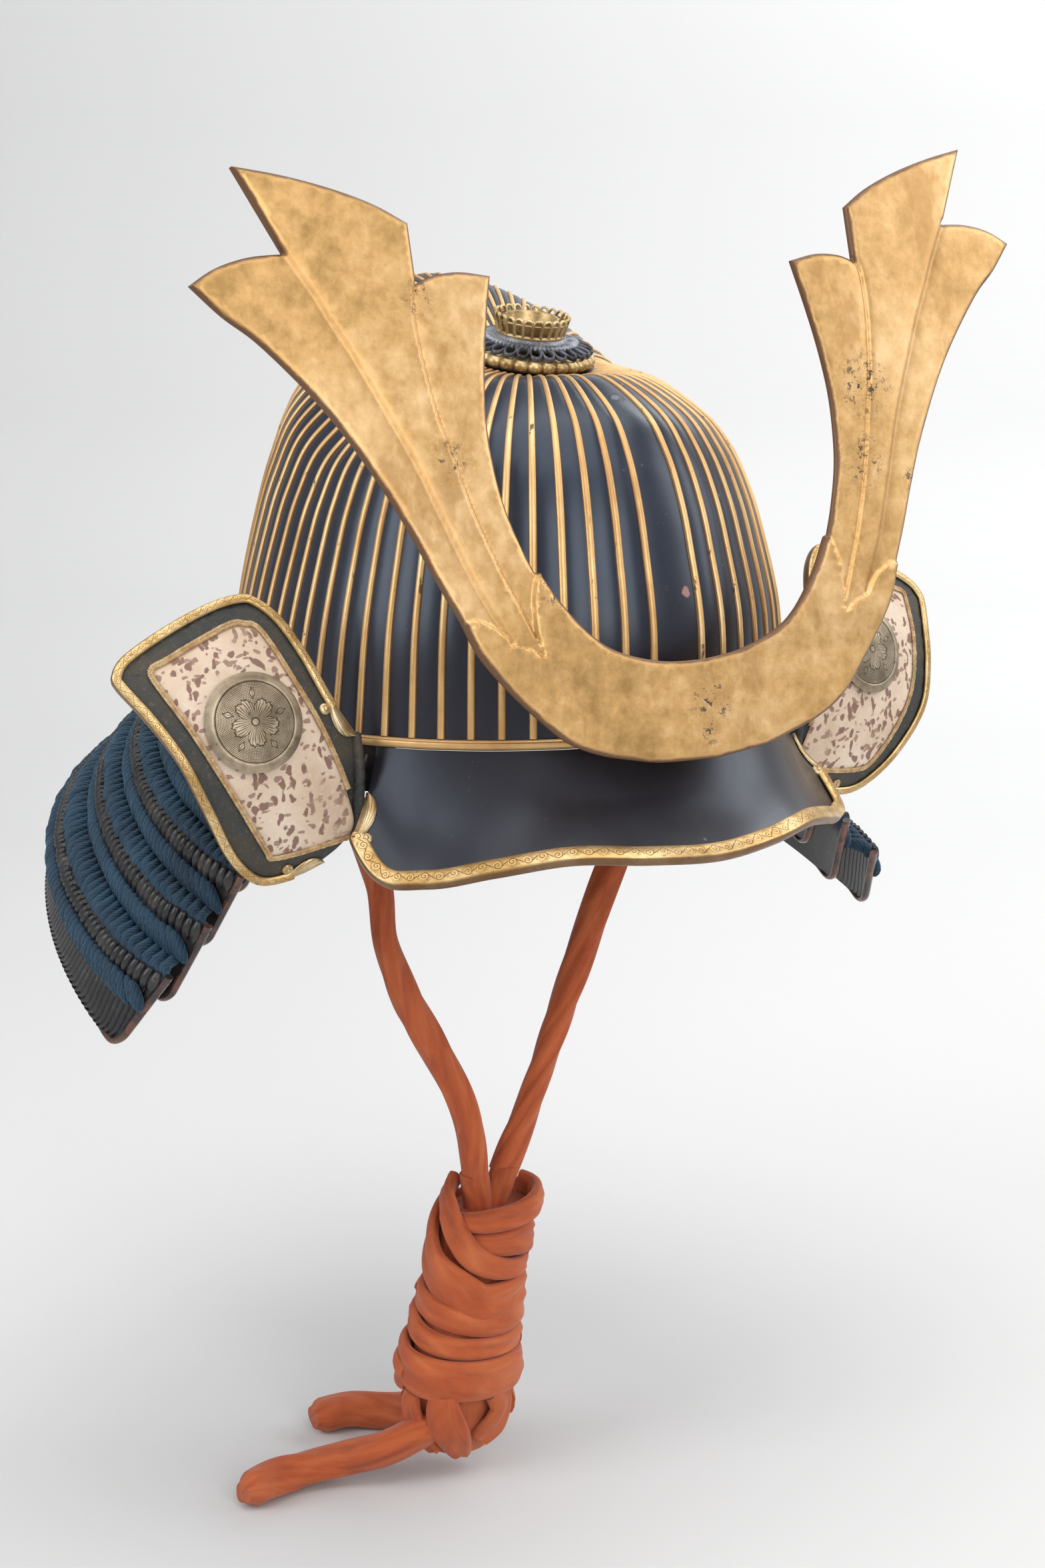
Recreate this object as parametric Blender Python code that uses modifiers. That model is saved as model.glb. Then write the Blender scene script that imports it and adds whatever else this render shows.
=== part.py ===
"""Ribbed samurai helmet with horned crest, visor, turned-back ear plates, laced neck guard and chin cord.

Metres. Front is -Y, the wearer's left is +X, up is +Z, and the origin is the centre of the bowl's mouth.
"""

import math
from collections import namedtuple

import bmesh
import bpy
from mathutils import Matrix, Vector

# Clearance between pieces that touch
GAP = 0.0003

# Ribbed bowl
BOWL_WIDTH = 0.2334
BOWL_LENGTH = 0.2564
BOWL_HEIGHT = 0.1430
BOWL_WALL = 0.0025
MOUTH_ARCH = 0.0035
RIB_COUNT = 62
RIB_WIDTH = 0.0032
RIB_HEIGHT = 0.0016
FRONT_PLATE_PITCHES = 1.9

# Crown fitting
CROWN_SETBACK = 0.0180
CROWN_TILT = math.radians(12.3)
CROWN_HOLE_RADIUS = 0.0135
CROWN_SEAT_RADIUS = 0.0300
PETAL_RING_RADIUS = 0.0285
PETAL_RING_HEIGHT = 0.0062
OPENWORK_RADIUS = 0.0262
OPENWORK_THICKNESS = 0.0020
OPENWORK_LOOPS = 14
WASHER_RADIUS = 0.0205
WASHER_THICKNESS = 0.0018
COLLAR_TOP_RADIUS = 0.0158
COLLAR_FOOT_RADIUS = 0.0138
COLLAR_HEIGHT = 0.0105
COLLAR_WALL = 0.0012
COLLAR_ARCHES = 12
CROWN_TUBE_RADIUS = 0.0108
CROWN_TUBE_WALL = 0.0012

# Gilt moulding round the mouth, and the upright strip below it
BAND_HEIGHT = 0.0042
BAND_PROUD = 0.0026
WAIST_PLATE_HEIGHT = 0.0190
WAIST_PLATE_WALL = 0.0020
WAIST_PLATE_GAP_ANGLE = math.radians(4.0)

# Visor
VISOR_HALF_ANGLE = math.radians(60.0)
VISOR_SIDE_FLARE = 0.0083
VISOR_FORWARD_FLARE = 0.0305
VISOR_DROP = 0.0430
VISOR_WALL = 0.0020
RIM_LIP = 0.0052
RIM_METAL = 0.0011
RIM_GAP = 0.0005

# Crest
CREST_SPAN = 0.3824
CREST_RISE = 0.2290
CREST_THICKNESS = 0.0032
CREST_LEAN = math.radians(12.4)
CREST_ROLL = math.radians(2.05)
CREST_WRAP_RADIUS = 7.35
CREST_STANDOFF = 0.0258
CREST_CELL = 0.0240
SOCKET_WIDTH = 0.0180
SOCKET_HEIGHT = 0.0190
SOCKET_LIFT = 0.0052

# Turned-back ear plates
TURNBACK_INSET = 0.0047
TURNBACK_WIDTH = 0.0900
TURNBACK_HEIGHT = 0.1100
TURNBACK_AHEAD = 0.0009
TURNBACK_WALL = 0.0024
TURNBACK_SLOPE = 0.139
TURNBACK_LEAN = 0.170
TURNBACK_RADIUS_ACROSS = 0.2392
TURNBACK_RADIUS_UP = 0.0858
TURNBACK_CELL = 0.0130
OUTLINE_STEP = 0.0120
PANEL_THICKNESS = 0.0008
BRAID_DIAMETER = 0.0026
MEDALLION_RADIUS = 0.0197
MEDALLION_THICKNESS = 0.0034
MEDALLION_ACROSS = 0.0436
MEDALLION_UP = 0.0120

# Neck guard: five laced lames
GUARD_SIDE_FLARE = 0.0828
GUARD_BACK_FLARE = 0.0938
GUARD_DROP = 0.1240
GUARD_END_SETBACK = 0.0456
LAME_WALL = 0.0022
LAME_COLUMNS = 17
LACING_THICKNESS = 0.0036
LACING_GAP = 0.0012

# Chin cord, a stuffed cloth tube
CORD_DIAMETER = 0.0140
TAIL_DIAMETER = 0.0170
CORD_SPACING = 0.0290
TAIL_SPACING = 0.0170
HANK_WIDTH = 0.0520
HANK_DEPTH = 0.0400
HANK_HEIGHT = 0.1290
HANK_TOP = 0.2306
RING_WIRE = 0.0030
RING_RADIUS = 0.0098
RING_DROP = 0.0140
RING_INSET = 0.0032
RING_BACK = 0.0240

# Bowl profile from the mouth to the crown seat: reach as a share of the way from the
# crown axis to the mouth, rise as a share of BOWL_HEIGHT, for the front, side and back
BowlRow = namedtuple("BowlRow", "front_reach front_rise side_reach side_rise back_reach back_rise")
BOWL_ROWS = [
    BowlRow(1.000, 0.000, 1.000, 0.000, 1.000, 0.000),
    BowlRow(0.996, 0.280, 0.934, 0.280, 0.994, 0.310),
    BowlRow(0.932, 0.500, 0.856, 0.520, 0.935, 0.620),
    BowlRow(0.875, 0.640, 0.811, 0.625, 0.881, 0.796),
    BowlRow(0.797, 0.765, 0.751, 0.725, 0.816, 0.962),
    BowlRow(0.682, 0.872, 0.653, 0.810, 0.705, 1.095),
    BowlRow(0.453, 0.962, 0.493, 0.935, 0.530, 1.240),
]
INNER_ROWS = (0, 2, 4, 6, 7, 8)

# Visor's lower edge from the middle to one side: shares of its half width,
# reach and drop
VisorRow = namedtuple("VisorRow", "station across forward drop")
VISOR_ROWS = [
    VisorRow(0.00, 0.000, 1.000, 0.968),
    VisorRow(0.25, 0.242, 0.972, 0.932),
    VisorRow(0.50, 0.484, 0.889, 0.911),
    VisorRow(0.70, 0.680, 0.778, 1.045),
    VisorRow(0.85, 0.836, 0.665, 1.170),
    VisorRow(0.95, 0.950, 0.570, 1.148),
    VisorRow(1.00, 1.000, 0.504, 1.000),
]

# Half outline of the crest from the middle of its lower edge, up the outer side, over the
# three lobes and down the inner side: shares of half CREST_SPAN and of CREST_RISE
CrestPoint = namedtuple("CrestPoint", "across up")
CREST_OUTER = [
    CrestPoint(0.000, -0.017),
    CrestPoint(0.128, -0.009),
    CrestPoint(0.201, 0.004),
    CrestPoint(0.277, 0.022),
    CrestPoint(0.345, 0.050),
    CrestPoint(0.403, 0.094),
    CrestPoint(0.462, 0.148),
    CrestPoint(0.518, 0.212),
    CrestPoint(0.547, 0.271),
    CrestPoint(0.581, 0.331),
    CrestPoint(0.615, 0.397),
    CrestPoint(0.657, 0.472),
    CrestPoint(0.707, 0.546),
    CrestPoint(0.753, 0.606),
    CrestPoint(0.807, 0.664),
    CrestPoint(0.884, 0.734),
    CrestPoint(0.944, 0.775),
]
CREST_LOBES = [
    CrestPoint(1.000, 0.824),
    CrestPoint(0.945, 0.848),
    CrestPoint(0.878, 0.862),
    CrestPoint(0.806, 0.865),
    CrestPoint(0.884, 1.000),
    CrestPoint(0.786, 0.984),
    CrestPoint(0.690, 0.962),
    CrestPoint(0.605, 0.935),
    CrestPoint(0.539, 0.904),
    CrestPoint(0.540, 0.808),
    CrestPoint(0.500, 0.820),
    CrestPoint(0.440, 0.824),
    CrestPoint(0.372, 0.815),
]
CREST_INNER = [
    CrestPoint(0.395, 0.740),
    CrestPoint(0.415, 0.662),
    CrestPoint(0.427, 0.583),
    CrestPoint(0.426, 0.513),
    CrestPoint(0.416, 0.448),
    CrestPoint(0.392, 0.380),
    CrestPoint(0.370, 0.334),
    CrestPoint(0.360, 0.331),
    CrestPoint(0.318, 0.274),
    CrestPoint(0.258, 0.216),
    CrestPoint(0.196, 0.183),
    CrestPoint(0.098, 0.159),
    CrestPoint(0.000, 0.152),
]

# Outline of an ear plate from its upper joint, over the top and down the outer side:
# shares of TURNBACK_WIDTH from the joint and of TURNBACK_HEIGHT; the plate on the
# wearer's left swells by left_swell at its outer edge
PlatePoint = namedtuple("PlatePoint", "across up left_swell")
PLATE_OUTLINE = [
    PlatePoint(0.000, 0.020, 0.000),
    PlatePoint(0.100, 0.160, 0.000),
    PlatePoint(0.170, 0.310, 0.000),
    PlatePoint(0.240, 0.430, 0.000),
    PlatePoint(0.320, 0.495, 0.000),
    PlatePoint(0.395, 0.510, 0.000),
    PlatePoint(0.550, 0.485, 0.000),
    PlatePoint(0.755, 0.420, 0.000),
    PlatePoint(0.940, 0.340, 0.000),
    PlatePoint(1.000, 0.285, 0.000),
    PlatePoint(0.995, 0.245, 0.015),
    PlatePoint(0.905, 0.137, 0.080),
    PlatePoint(0.800, -0.008, 0.160),
    PlatePoint(0.705, -0.183, 0.205),
    PlatePoint(0.600, -0.358, 0.130),
    PlatePoint(0.497, -0.456, 0.070),
    PlatePoint(0.402, -0.493, 0.030),
    PlatePoint(0.256, -0.476, 0.000),
    PlatePoint(0.140, -0.438, 0.000),
    PlatePoint(0.022, -0.344, 0.000),
    PlatePoint(0.008, -0.175, 0.000),
]
RIMMED_POINTS = 19
PANEL_OUTLINE = [
    PlatePoint(0.061, -0.169, 0.000),
    PlatePoint(0.180, 0.080, 0.000),
    PlatePoint(0.261, 0.228, 0.000),
    PlatePoint(0.349, 0.392, 0.000),
    PlatePoint(0.406, 0.417, 0.000),
    PlatePoint(0.477, 0.417, 0.000),
    PlatePoint(0.640, 0.367, 0.000),
    PlatePoint(0.786, 0.315, 0.000),
    PlatePoint(0.847, 0.292, 0.000),
    PlatePoint(0.839, 0.250, 0.010),
    PlatePoint(0.735, 0.095, 0.100),
    PlatePoint(0.592, -0.124, 0.170),
    PlatePoint(0.428, -0.349, 0.120),
    PlatePoint(0.364, -0.386, 0.050),
    PlatePoint(0.035, -0.343, 0.000),
]

# Lames from the top of the guard down. Upper and lower edges, as shares of the guard's sizes: how far
# the edge stands out at the side and at the back, its drop at the front end and at the back, and how
# far its ends fall short of the ear plates' joints
Lame = namedtuple("Lame", "top low")
LameEdge = namedtuple("LameEdge", "side back front_drop back_drop setback")
LAMES = [
    Lame(LameEdge(0.0338, 0.0320, 0.0565, 0.0565, 0.0022), LameEdge(0.2029, 0.3390, 0.3710, 0.0484, 0.0877)),
    Lame(LameEdge(0.3056, 0.2751, 0.2903, -0.0363, 0.5285), LameEdge(0.3297, 0.5522, 0.5565, 0.0806, 0.9671)),
    Lame(LameEdge(0.4928, 0.4989, 0.4516, -0.0081, 0.5285), LameEdge(0.5290, 0.6908, 0.7177, 0.1855, 0.9671)),
    Lame(LameEdge(0.6860, 0.6695, 0.6008, 0.0927, 0.5285), LameEdge(0.7403, 0.8134, 0.8831, 0.3226, 0.9671)),
    Lame(LameEdge(0.9094, 0.8081, 0.7460, 0.2218, 0.5285), LameEdge(1.0000, 1.0000, 1.0000, 0.3468, 1.0000)),
]
LAME_FRONT_SPREAD = 0.1400
SCALE_HEAD_SHARE = 0.24
FACE_LACING_SHARE = 0.34
LACING_MARGIN = 0.03
HANG_LACING_SHARE = 0.37

# The hank of looped cord from its top down: height share, middle and half width as shares of HANK_WIDTH
HankRow = namedtuple("HankRow", "height middle half")
HANK_ROWS = [
    HankRow(1.00, -0.160, 0.400),
    HankRow(0.93, -0.190, 0.490),
    HankRow(0.70, -0.330, 0.480),
    HankRow(0.45, -0.450, 0.540),
    HankRow(0.30, -0.500, 0.570),
    HankRow(0.14, -0.490, 0.500),
    HankRow(0.00, -0.480, 0.330),
]

# The cord's route from the hank up the wearer's right side, round the back inside the mouth
# and down the left side, and the two free ends
CORD_ROUTE = [
    (-0.0165, 0.000, -0.2288),
    (-0.0205, 0.001, -0.1975),
    (-0.0345, 0.002, -0.1650),
    (-0.0505, 0.001, -0.1360),
    (-0.0610, 0.001, -0.1080),
    (-0.0640, 0.002, -0.0800),
    (-0.0740, 0.003, -0.0530),
    (-0.0890, 0.006, -0.0290),
    (-0.1008, 0.014, -0.0150),
    (-0.0998, 0.034, -0.0130),
    (-0.0875, 0.064, -0.0125),
    (-0.0640, 0.091, -0.0125),
    (-0.0330, 0.108, -0.0125),
    (0.0000, 0.113, -0.0125),
    (0.0330, 0.108, -0.0125),
    (0.0640, 0.091, -0.0125),
    (0.0875, 0.064, -0.0125),
    (0.0998, 0.034, -0.0130),
    (0.1008, 0.014, -0.0150),
    (0.0920, 0.006, -0.0300),
    (0.0780, 0.003, -0.0560),
    (0.0600, 0.001, -0.0880),
    (0.0445, 0.000, -0.1205),
    (0.0295, 0.000, -0.1565),
    (0.0150, 0.000, -0.1920),
    (-0.0010, 0.000, -0.2275),
]
FRONT_TAIL_ROUTE = [
    (-0.0527, -0.0030, -0.3440),
    (-0.0660, 0.0010, -0.3490),
    (-0.0780, 0.0140, -0.3565),
    (-0.0930, 0.0205, -0.3596),
    (-0.1100, 0.0210, -0.3596),
    (-0.1300, 0.0165, -0.3596),
]
REAR_TAIL_ROUTE = [
    (-0.0260, 0.0152, -0.3480),
    (-0.0290, 0.0350, -0.3540),
    (-0.0380, 0.0520, -0.3596),
    (-0.0520, 0.0615, -0.3596),
    (-0.0700, 0.0625, -0.3596),
]


def clear_scene():
    for obj in list(bpy.data.objects):
        bpy.data.objects.remove(obj, do_unlink=True)


def smooth_value(stations, values, at):
    """Value at a station along a smooth curve through the given stations."""
    last = len(stations) - 1
    i = 0
    while i < last - 1 and at > stations[i + 1]:
        i += 1
    span = stations[i + 1] - stations[i]
    t = (at - stations[i]) / span
    left = (values[i + 1] - values[max(i - 1, 0)]) / (stations[i + 1] - stations[max(i - 1, 0)])
    right = (values[min(i + 2, last)] - values[i]) / (stations[min(i + 2, last)] - stations[i])
    t2 = t * t
    t3 = t2 * t
    return (
        (2 * t3 - 3 * t2 + 1) * values[i]
        + (t3 - 2 * t2 + t) * span * left
        + (3 * t2 - 2 * t3) * values[i + 1]
        + (t3 - t2) * span * right
    )


def smooth_path(points, spacing):
    """Points about spacing apart on a smooth open curve through the given points."""
    points = [Vector(p) for p in points]
    last = len(points) - 1
    fine = []
    for i in range(last):
        before = points[i - 1] if i else points[0] * 2 - points[1]
        after = points[i + 2] if i + 2 <= last else points[last] * 2 - points[last - 1]
        for k in range(12):
            t = k / 12
            fine.append(
                0.5
                * (
                    2 * points[i]
                    + (points[i + 1] - before) * t
                    + (2 * before - 5 * points[i] + 4 * points[i + 1] - after) * t * t
                    + (3 * points[i] - before - 3 * points[i + 1] + after) * t**3
                )
            )
    fine.append(points[last])
    lengths = [0.0]
    for a, b in zip(fine, fine[1:]):
        lengths.append(lengths[-1] + (b - a).length)
    count = max(2, round(lengths[-1] / spacing))
    path = []
    i = 0
    for k in range(count + 1):
        at = lengths[-1] * k / count
        while i < len(fine) - 2 and at > lengths[i + 1]:
            i += 1
        share = (at - lengths[i]) / (lengths[i + 1] - lengths[i])
        path.append(fine[i].lerp(fine[i + 1], share))
    return path


def new_material(name, colour, roughness, metallic):
    material = bpy.data.materials.new(name)
    material.use_nodes = True
    shader = material.node_tree.nodes["Principled BSDF"]
    shader.inputs["Base Color"].default_value = (*colour, 1.0)
    shader.inputs["Roughness"].default_value = roughness
    shader.inputs["Metallic"].default_value = metallic
    material.diffuse_color = (*colour, 1.0)
    return material


FINISHES = {
    "black_lacquer": ((0.018, 0.018, 0.026), 0.25, 0.0),
    "gilt_moulding": ((0.55, 0.33, 0.11), 0.38, 0.7),
    "crest_gold": ((0.60, 0.37, 0.11), 0.42, 0.7),
    "gilt_copper": ((0.58, 0.40, 0.16), 0.35, 0.9),
    "dark_copper": ((0.05, 0.05, 0.07), 0.45, 0.8),
    "border_leather": ((0.055, 0.06, 0.045), 0.75, 0.0),
    "pale_leather": ((0.72, 0.56, 0.42), 0.8, 0.0),
    "braid_silk": ((0.50, 0.34, 0.15), 0.7, 0.0),
    "medallion_brass": ((0.30, 0.26, 0.17), 0.45, 0.9),
    "lame_lacquer": ((0.035, 0.03, 0.03), 0.4, 0.0),
    "blue_lacing": ((0.01, 0.05, 0.13), 0.8, 0.0),
    "orange_cloth": ((0.70, 0.15, 0.03), 0.85, 0.0),
    "iron": ((0.08, 0.07, 0.07), 0.5, 0.8),
}


class Helmet:
    """The collection that holds the pieces."""

    def __init__(self):
        self.collection = bpy.data.collections.new("samurai_helmet")
        bpy.context.scene.collection.children.link(self.collection)

    def add(self, name, data, finish, smooth_angle=40.0):
        obj = bpy.data.objects.new(name, data)
        self.collection.objects.link(obj)
        data.materials.append(new_material(name, *FINISHES[finish]))
        if isinstance(data, bpy.types.Mesh):
            data.shade_smooth()
            data.set_sharp_from_angle(angle=math.radians(smooth_angle))
        return obj

    def add_bmesh(self, name, bm, finish):
        bmesh.ops.recalc_face_normals(bm, faces=bm.faces)
        data = bpy.data.meshes.new(name)
        bm.to_mesh(data)
        bm.free()
        return self.add(name, data, finish)

    def add_tube(self, name, points, diameter, finish, resolution=2):
        data = bpy.data.curves.new(name, "CURVE")
        data.dimensions = "3D"
        data.bevel_depth = diameter / 2
        data.bevel_resolution = resolution
        data.use_fill_caps = True
        spline = data.splines.new("POLY")
        spline.points.add(len(points) - 1)
        for target, point in zip(spline.points, points):
            target.co = (*point, 1.0)
        return self.add(name, data, finish)


def sweep(rings, closed=False):
    """A solid through rings of points, one ring for each station along it."""
    bm = bmesh.new()
    loops = [[bm.verts.new(p) for p in ring] for ring in rings]
    count = len(rings[0])
    pairs = list(zip(loops, loops[1:]))
    if closed:
        pairs.append((loops[-1], loops[0]))
    for a, b in pairs:
        for i in range(count):
            j = (i + 1) % count
            bm.faces.new((a[i], a[j], b[j], b[i]))
    if not closed:
        bm.faces.new(loops[0])
        bm.faces.new(loops[-1])
    return bm


def sheet_from_outline(outline, cuts_across, cuts_up, back, front):
    """A curved plate over an outline in the XZ plane; back and front give Y at a place."""
    bm = bmesh.new()
    bm.faces.new([bm.verts.new((x, 0.0, z)) for x, z in outline])
    for place, normal, cuts in (((1, 0, 0), (1, 0, 0), cuts_across), ((0, 0, 1), (0, 0, 1), cuts_up)):
        for cut in cuts:
            geometry = bm.verts[:] + bm.edges[:] + bm.faces[:]
            bmesh.ops.bisect_plane(bm, geom=geometry, plane_co=Vector(place) * cut, plane_no=normal)
    bmesh.ops.remove_doubles(bm, verts=bm.verts[:], dist=0.00002)
    face_side = bm.faces[:]
    made = bmesh.ops.extrude_face_region(bm, geom=face_side)["geom"]
    far = {v for v in made if isinstance(v, bmesh.types.BMVert)}
    for vert in bm.verts:
        place = back if vert in far else front
        vert.co.y = place(vert.co.x, vert.co.z)
    return bm


# Bowl


def mouth_point(angle, outward=0.0):
    """Place on the mouth's ellipse; the angle runs from the front towards the wearer's left."""
    half_width = BOWL_WIDTH / 2 + outward
    half_length = BOWL_LENGTH / 2 + outward
    arch = MOUTH_ARCH * max(0.0, math.cos(angle)) ** 2
    return Vector((half_width * math.sin(angle), -half_length * math.cos(angle), arch))


def ear_inner():
    """How far from the middle the inner edges of the ear plates lie."""
    return BOWL_WIDTH / 2 - TURNBACK_INSET


def ear_forward():
    """How far forward of the origin the visor's ends and the ear plates' joints lie."""
    return BOWL_LENGTH / 2 * math.cos(VISOR_HALF_ANGLE)


def mouth_angles():
    """Angles of the ribs round the mouth, evenly spaced but for the broad front plate."""
    steps = 1440
    lengths = [0.0]
    for k in range(steps):
        a = mouth_point(2 * math.pi * k / steps)
        b = mouth_point(2 * math.pi * (k + 1) / steps)
        lengths.append(lengths[-1] + (b - a).length)
    pitch = lengths[-1] / (RIB_COUNT - 1 + FRONT_PLATE_PITCHES)

    def angle_at(distance):
        distance %= lengths[-1]
        low = 0
        high = steps
        while high - low > 1:
            middle = (low + high) // 2
            if lengths[middle] <= distance:
                low = middle
            else:
                high = middle
        share = (distance - lengths[low]) / (lengths[high] - lengths[low])
        return 2 * math.pi * (low + share) / steps

    centres = [pitch * (FRONT_PLATE_PITCHES / 2 + i) for i in range(RIB_COUNT)]
    return centres, pitch, angle_at


def crown_matrix():
    place = Matrix.Translation((0.0, -CROWN_SETBACK, BOWL_HEIGHT))
    return place @ Matrix.Rotation(CROWN_TILT, 4, "X")


def bowl_point(angle, row):
    """Place on the bowl's plates; rows past the table are the seat and the hole at the crown."""
    foot = mouth_point(angle)
    axis = Vector((0.0, -CROWN_SETBACK, 0.0))
    way = Vector((foot.x, foot.y, 0.0)) - axis
    if row >= len(BOWL_ROWS):
        radius = CROWN_SEAT_RADIUS if row == len(BOWL_ROWS) else CROWN_HOLE_RADIUS
        flat = way.normalized() * radius
        return crown_matrix() @ Vector((flat.x, flat.y, 0.0))
    front = max(0.0, math.cos(angle)) ** 1.25
    back = max(0.0, -math.cos(angle)) ** 1.25
    side = 1.0 - front - back
    r = BOWL_ROWS[row]
    reach = front * r.front_reach + side * r.side_reach + back * r.back_reach
    rise = front * r.front_rise + side * r.side_rise + back * r.back_rise
    flat = axis + way * reach
    return Vector((flat.x, flat.y, foot.z * (1.0 - min(1.0, rise)) + BOWL_HEIGHT * rise))


def bowl_normal(angle, row):
    step = 0.01
    last = len(BOWL_ROWS) + 1
    across = bowl_point(angle + step, row) - bowl_point(angle - step, row)
    up = bowl_point(angle, min(row + 1, last)) - bowl_point(angle, max(row - 1, 0))
    normal = across.cross(up)
    return normal.normalized()


def bowl_inner_point(angle, row):
    """Place on the inside of the bowl's wall."""
    if row == 0:
        return mouth_point(angle, -BOWL_WALL)
    if row >= len(BOWL_ROWS):
        return bowl_point(angle, row) - crown_matrix().to_3x3() @ Vector((0, 0, BOWL_WALL))
    return bowl_point(angle, row) - bowl_normal(angle, row) * BOWL_WALL


def make_bowl(helmet):
    """Plates and ribs as one shell: three columns for each rib outside, one for two ribs inside."""
    centres, pitch, angle_at = mouth_angles()
    axis = Vector((0.0, -CROWN_SETBACK))
    bm = bmesh.new()
    outer = []
    for row in range(len(BOWL_ROWS) + 2):
        ring = []
        for centre in centres:
            middle = angle_at(centre)
            reach = (bowl_point(middle, row).xy - axis).length
            foot_reach = (mouth_point(middle).xy - axis).length
            half = min(RIB_WIDTH / 2 * foot_reach / reach, pitch * 0.30)
            height = RIB_HEIGHT if row < len(BOWL_ROWS) else 0.0
            for shift, proud in ((-half, 0.0), (0.0, height), (half, 0.0)):
                angle = angle_at(centre + shift)
                point = bowl_point(angle, row)
                if proud:
                    point = point + bowl_normal(angle, row) * proud
                ring.append(bm.verts.new(point))
        outer.append(ring)
    half_count = RIB_COUNT // 2
    inner = []
    for row in INNER_ROWS:
        ring = []
        for i in range(half_count):
            angle = angle_at((centres[2 * i] + centres[2 * i + 1]) / 2)
            ring.append(bm.verts.new(bowl_inner_point(angle, row)))
        inner.append(ring)
    for low, high in zip(outer, outer[1:]):
        for i in range(len(low)):
            j = (i + 1) % len(low)
            bm.faces.new((low[i], low[j], high[j], high[i]))
    for low, high in zip(inner, inner[1:]):
        for i in range(half_count):
            j = (i + 1) % half_count
            bm.faces.new((low[j], low[i], high[i], high[j]))
    for ring, inner_ring in ((outer[0], inner[0]), (outer[-1], inner[-1])):
        for i in range(half_count):
            j = (i + 1) % half_count
            here = ring[6 * i : 6 * i + 6]
            bm.faces.new((inner_ring[i], *here))
            bm.faces.new((inner_ring[i], here[-1], ring[6 * j], inner_ring[j]))
    helmet.add_bmesh("bowl_shell", bm, "black_lacquer")


def band_section(angle, corners):
    """Points of a section below the mouth: each corner is (outward, below the mouth's edge)."""
    ring = []
    for outward, below in corners:
        point = mouth_point(angle, outward)
        ring.append(point - Vector((0.0, 0.0, below)))
    return ring


def make_band(helmet):
    low = GAP + BAND_HEIGHT
    corners = [
        (-BOWL_WALL, GAP),
        (BAND_PROUD * 0.4, GAP),
        (BAND_PROUD, (GAP + low) / 2),
        (BAND_PROUD * 0.4, low),
        (-BOWL_WALL, low),
    ]
    stations = 48
    rings = [band_section(2 * math.pi * k / stations, corners) for k in range(stations)]
    helmet.add_bmesh("waist_band", sweep(rings, closed=True), "gilt_moulding")


def make_waist_plate(helmet):
    top = BAND_HEIGHT + 2 * GAP
    low = top + WAIST_PLATE_HEIGHT
    corners = [(0.0, top), (0.0, low), (-WAIST_PLATE_WALL, low), (-WAIST_PLATE_WALL, top)]
    rings = []
    for k in range(LAME_COLUMNS + 1):
        share = k / LAME_COLUMNS
        angle = (VISOR_HALF_ANGLE + WAIST_PLATE_GAP_ANGLE) + (2 * math.pi - 2 * (VISOR_HALF_ANGLE + WAIST_PLATE_GAP_ANGLE)) * share
        rings.append(band_section(angle, corners))
    helmet.add_bmesh("waist_plate", sweep(rings), "black_lacquer")


# Crown fitting


def crown_turned(helmet, name, profile, finish, steps=20):
    """A turned piece on the crown's axis; the profile is radius and height above the seat."""
    data = bpy.data.meshes.new(name)
    bm = bmesh.new()
    verts = [bm.verts.new((radius, 0.0, height)) for radius, height in profile]
    for i in range(len(verts)):
        bm.edges.new((verts[i], verts[(i + 1) % len(verts)]))
    bm.to_mesh(data)
    bm.free()
    obj = helmet.add(name, data, finish)
    screw = obj.modifiers.new("turn", "SCREW")
    screw.steps = steps
    screw.render_steps = steps
    screw.use_merge_vertices = True
    screw.merge_threshold = 0.00002
    obj.matrix_world = crown_matrix()
    return obj


def pierced_ring(inner, outer, loops, height_at, scallop):
    """A flat or conical ring with a gap through every second sector of its middle band."""
    bm = bmesh.new()
    sectors = 2 * loops
    shares = (0.0, 0.24, 0.78, 1.0)
    rows = []
    for share in shares:
        row = []
        for k in range(sectors):
            angle = 2 * math.pi * (k + 0.5) / sectors
            radius = inner + (outer - inner) * share
            place = Vector((radius * math.sin(angle), -radius * math.cos(angle), height_at(share)))
            row.append(bm.verts.new(place))
        rows.append(row)
    tips = []
    for k in range(0, sectors, 2):
        angle = 2 * math.pi * (k + 1.0) / sectors
        radius = outer + scallop[0]
        place = Vector((radius * math.sin(angle), -radius * math.cos(angle), height_at(1.0) + scallop[1]))
        tips.append(bm.verts.new(place))
    for level in range(len(shares) - 1):
        for k in range(sectors):
            if level == 1 and k % 2 == 0:
                continue
            j = (k + 1) % sectors
            a, b = rows[level][k], rows[level][j]
            c, d = rows[level + 1][j], rows[level + 1][k]
            corners = (a, b, c, d)
            if level == 2 and k % 2 == 0:
                corners = (a, b, c, tips[k // 2], d)
            bm.faces.new(corners)
    return bm


def solidified(helmet, name, bm, finish, thickness, offset):
    obj = helmet.add_bmesh(name, bm, finish)
    solid = obj.modifiers.new("wall", "SOLIDIFY")
    solid.thickness = thickness
    solid.offset = offset
    return obj


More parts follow.
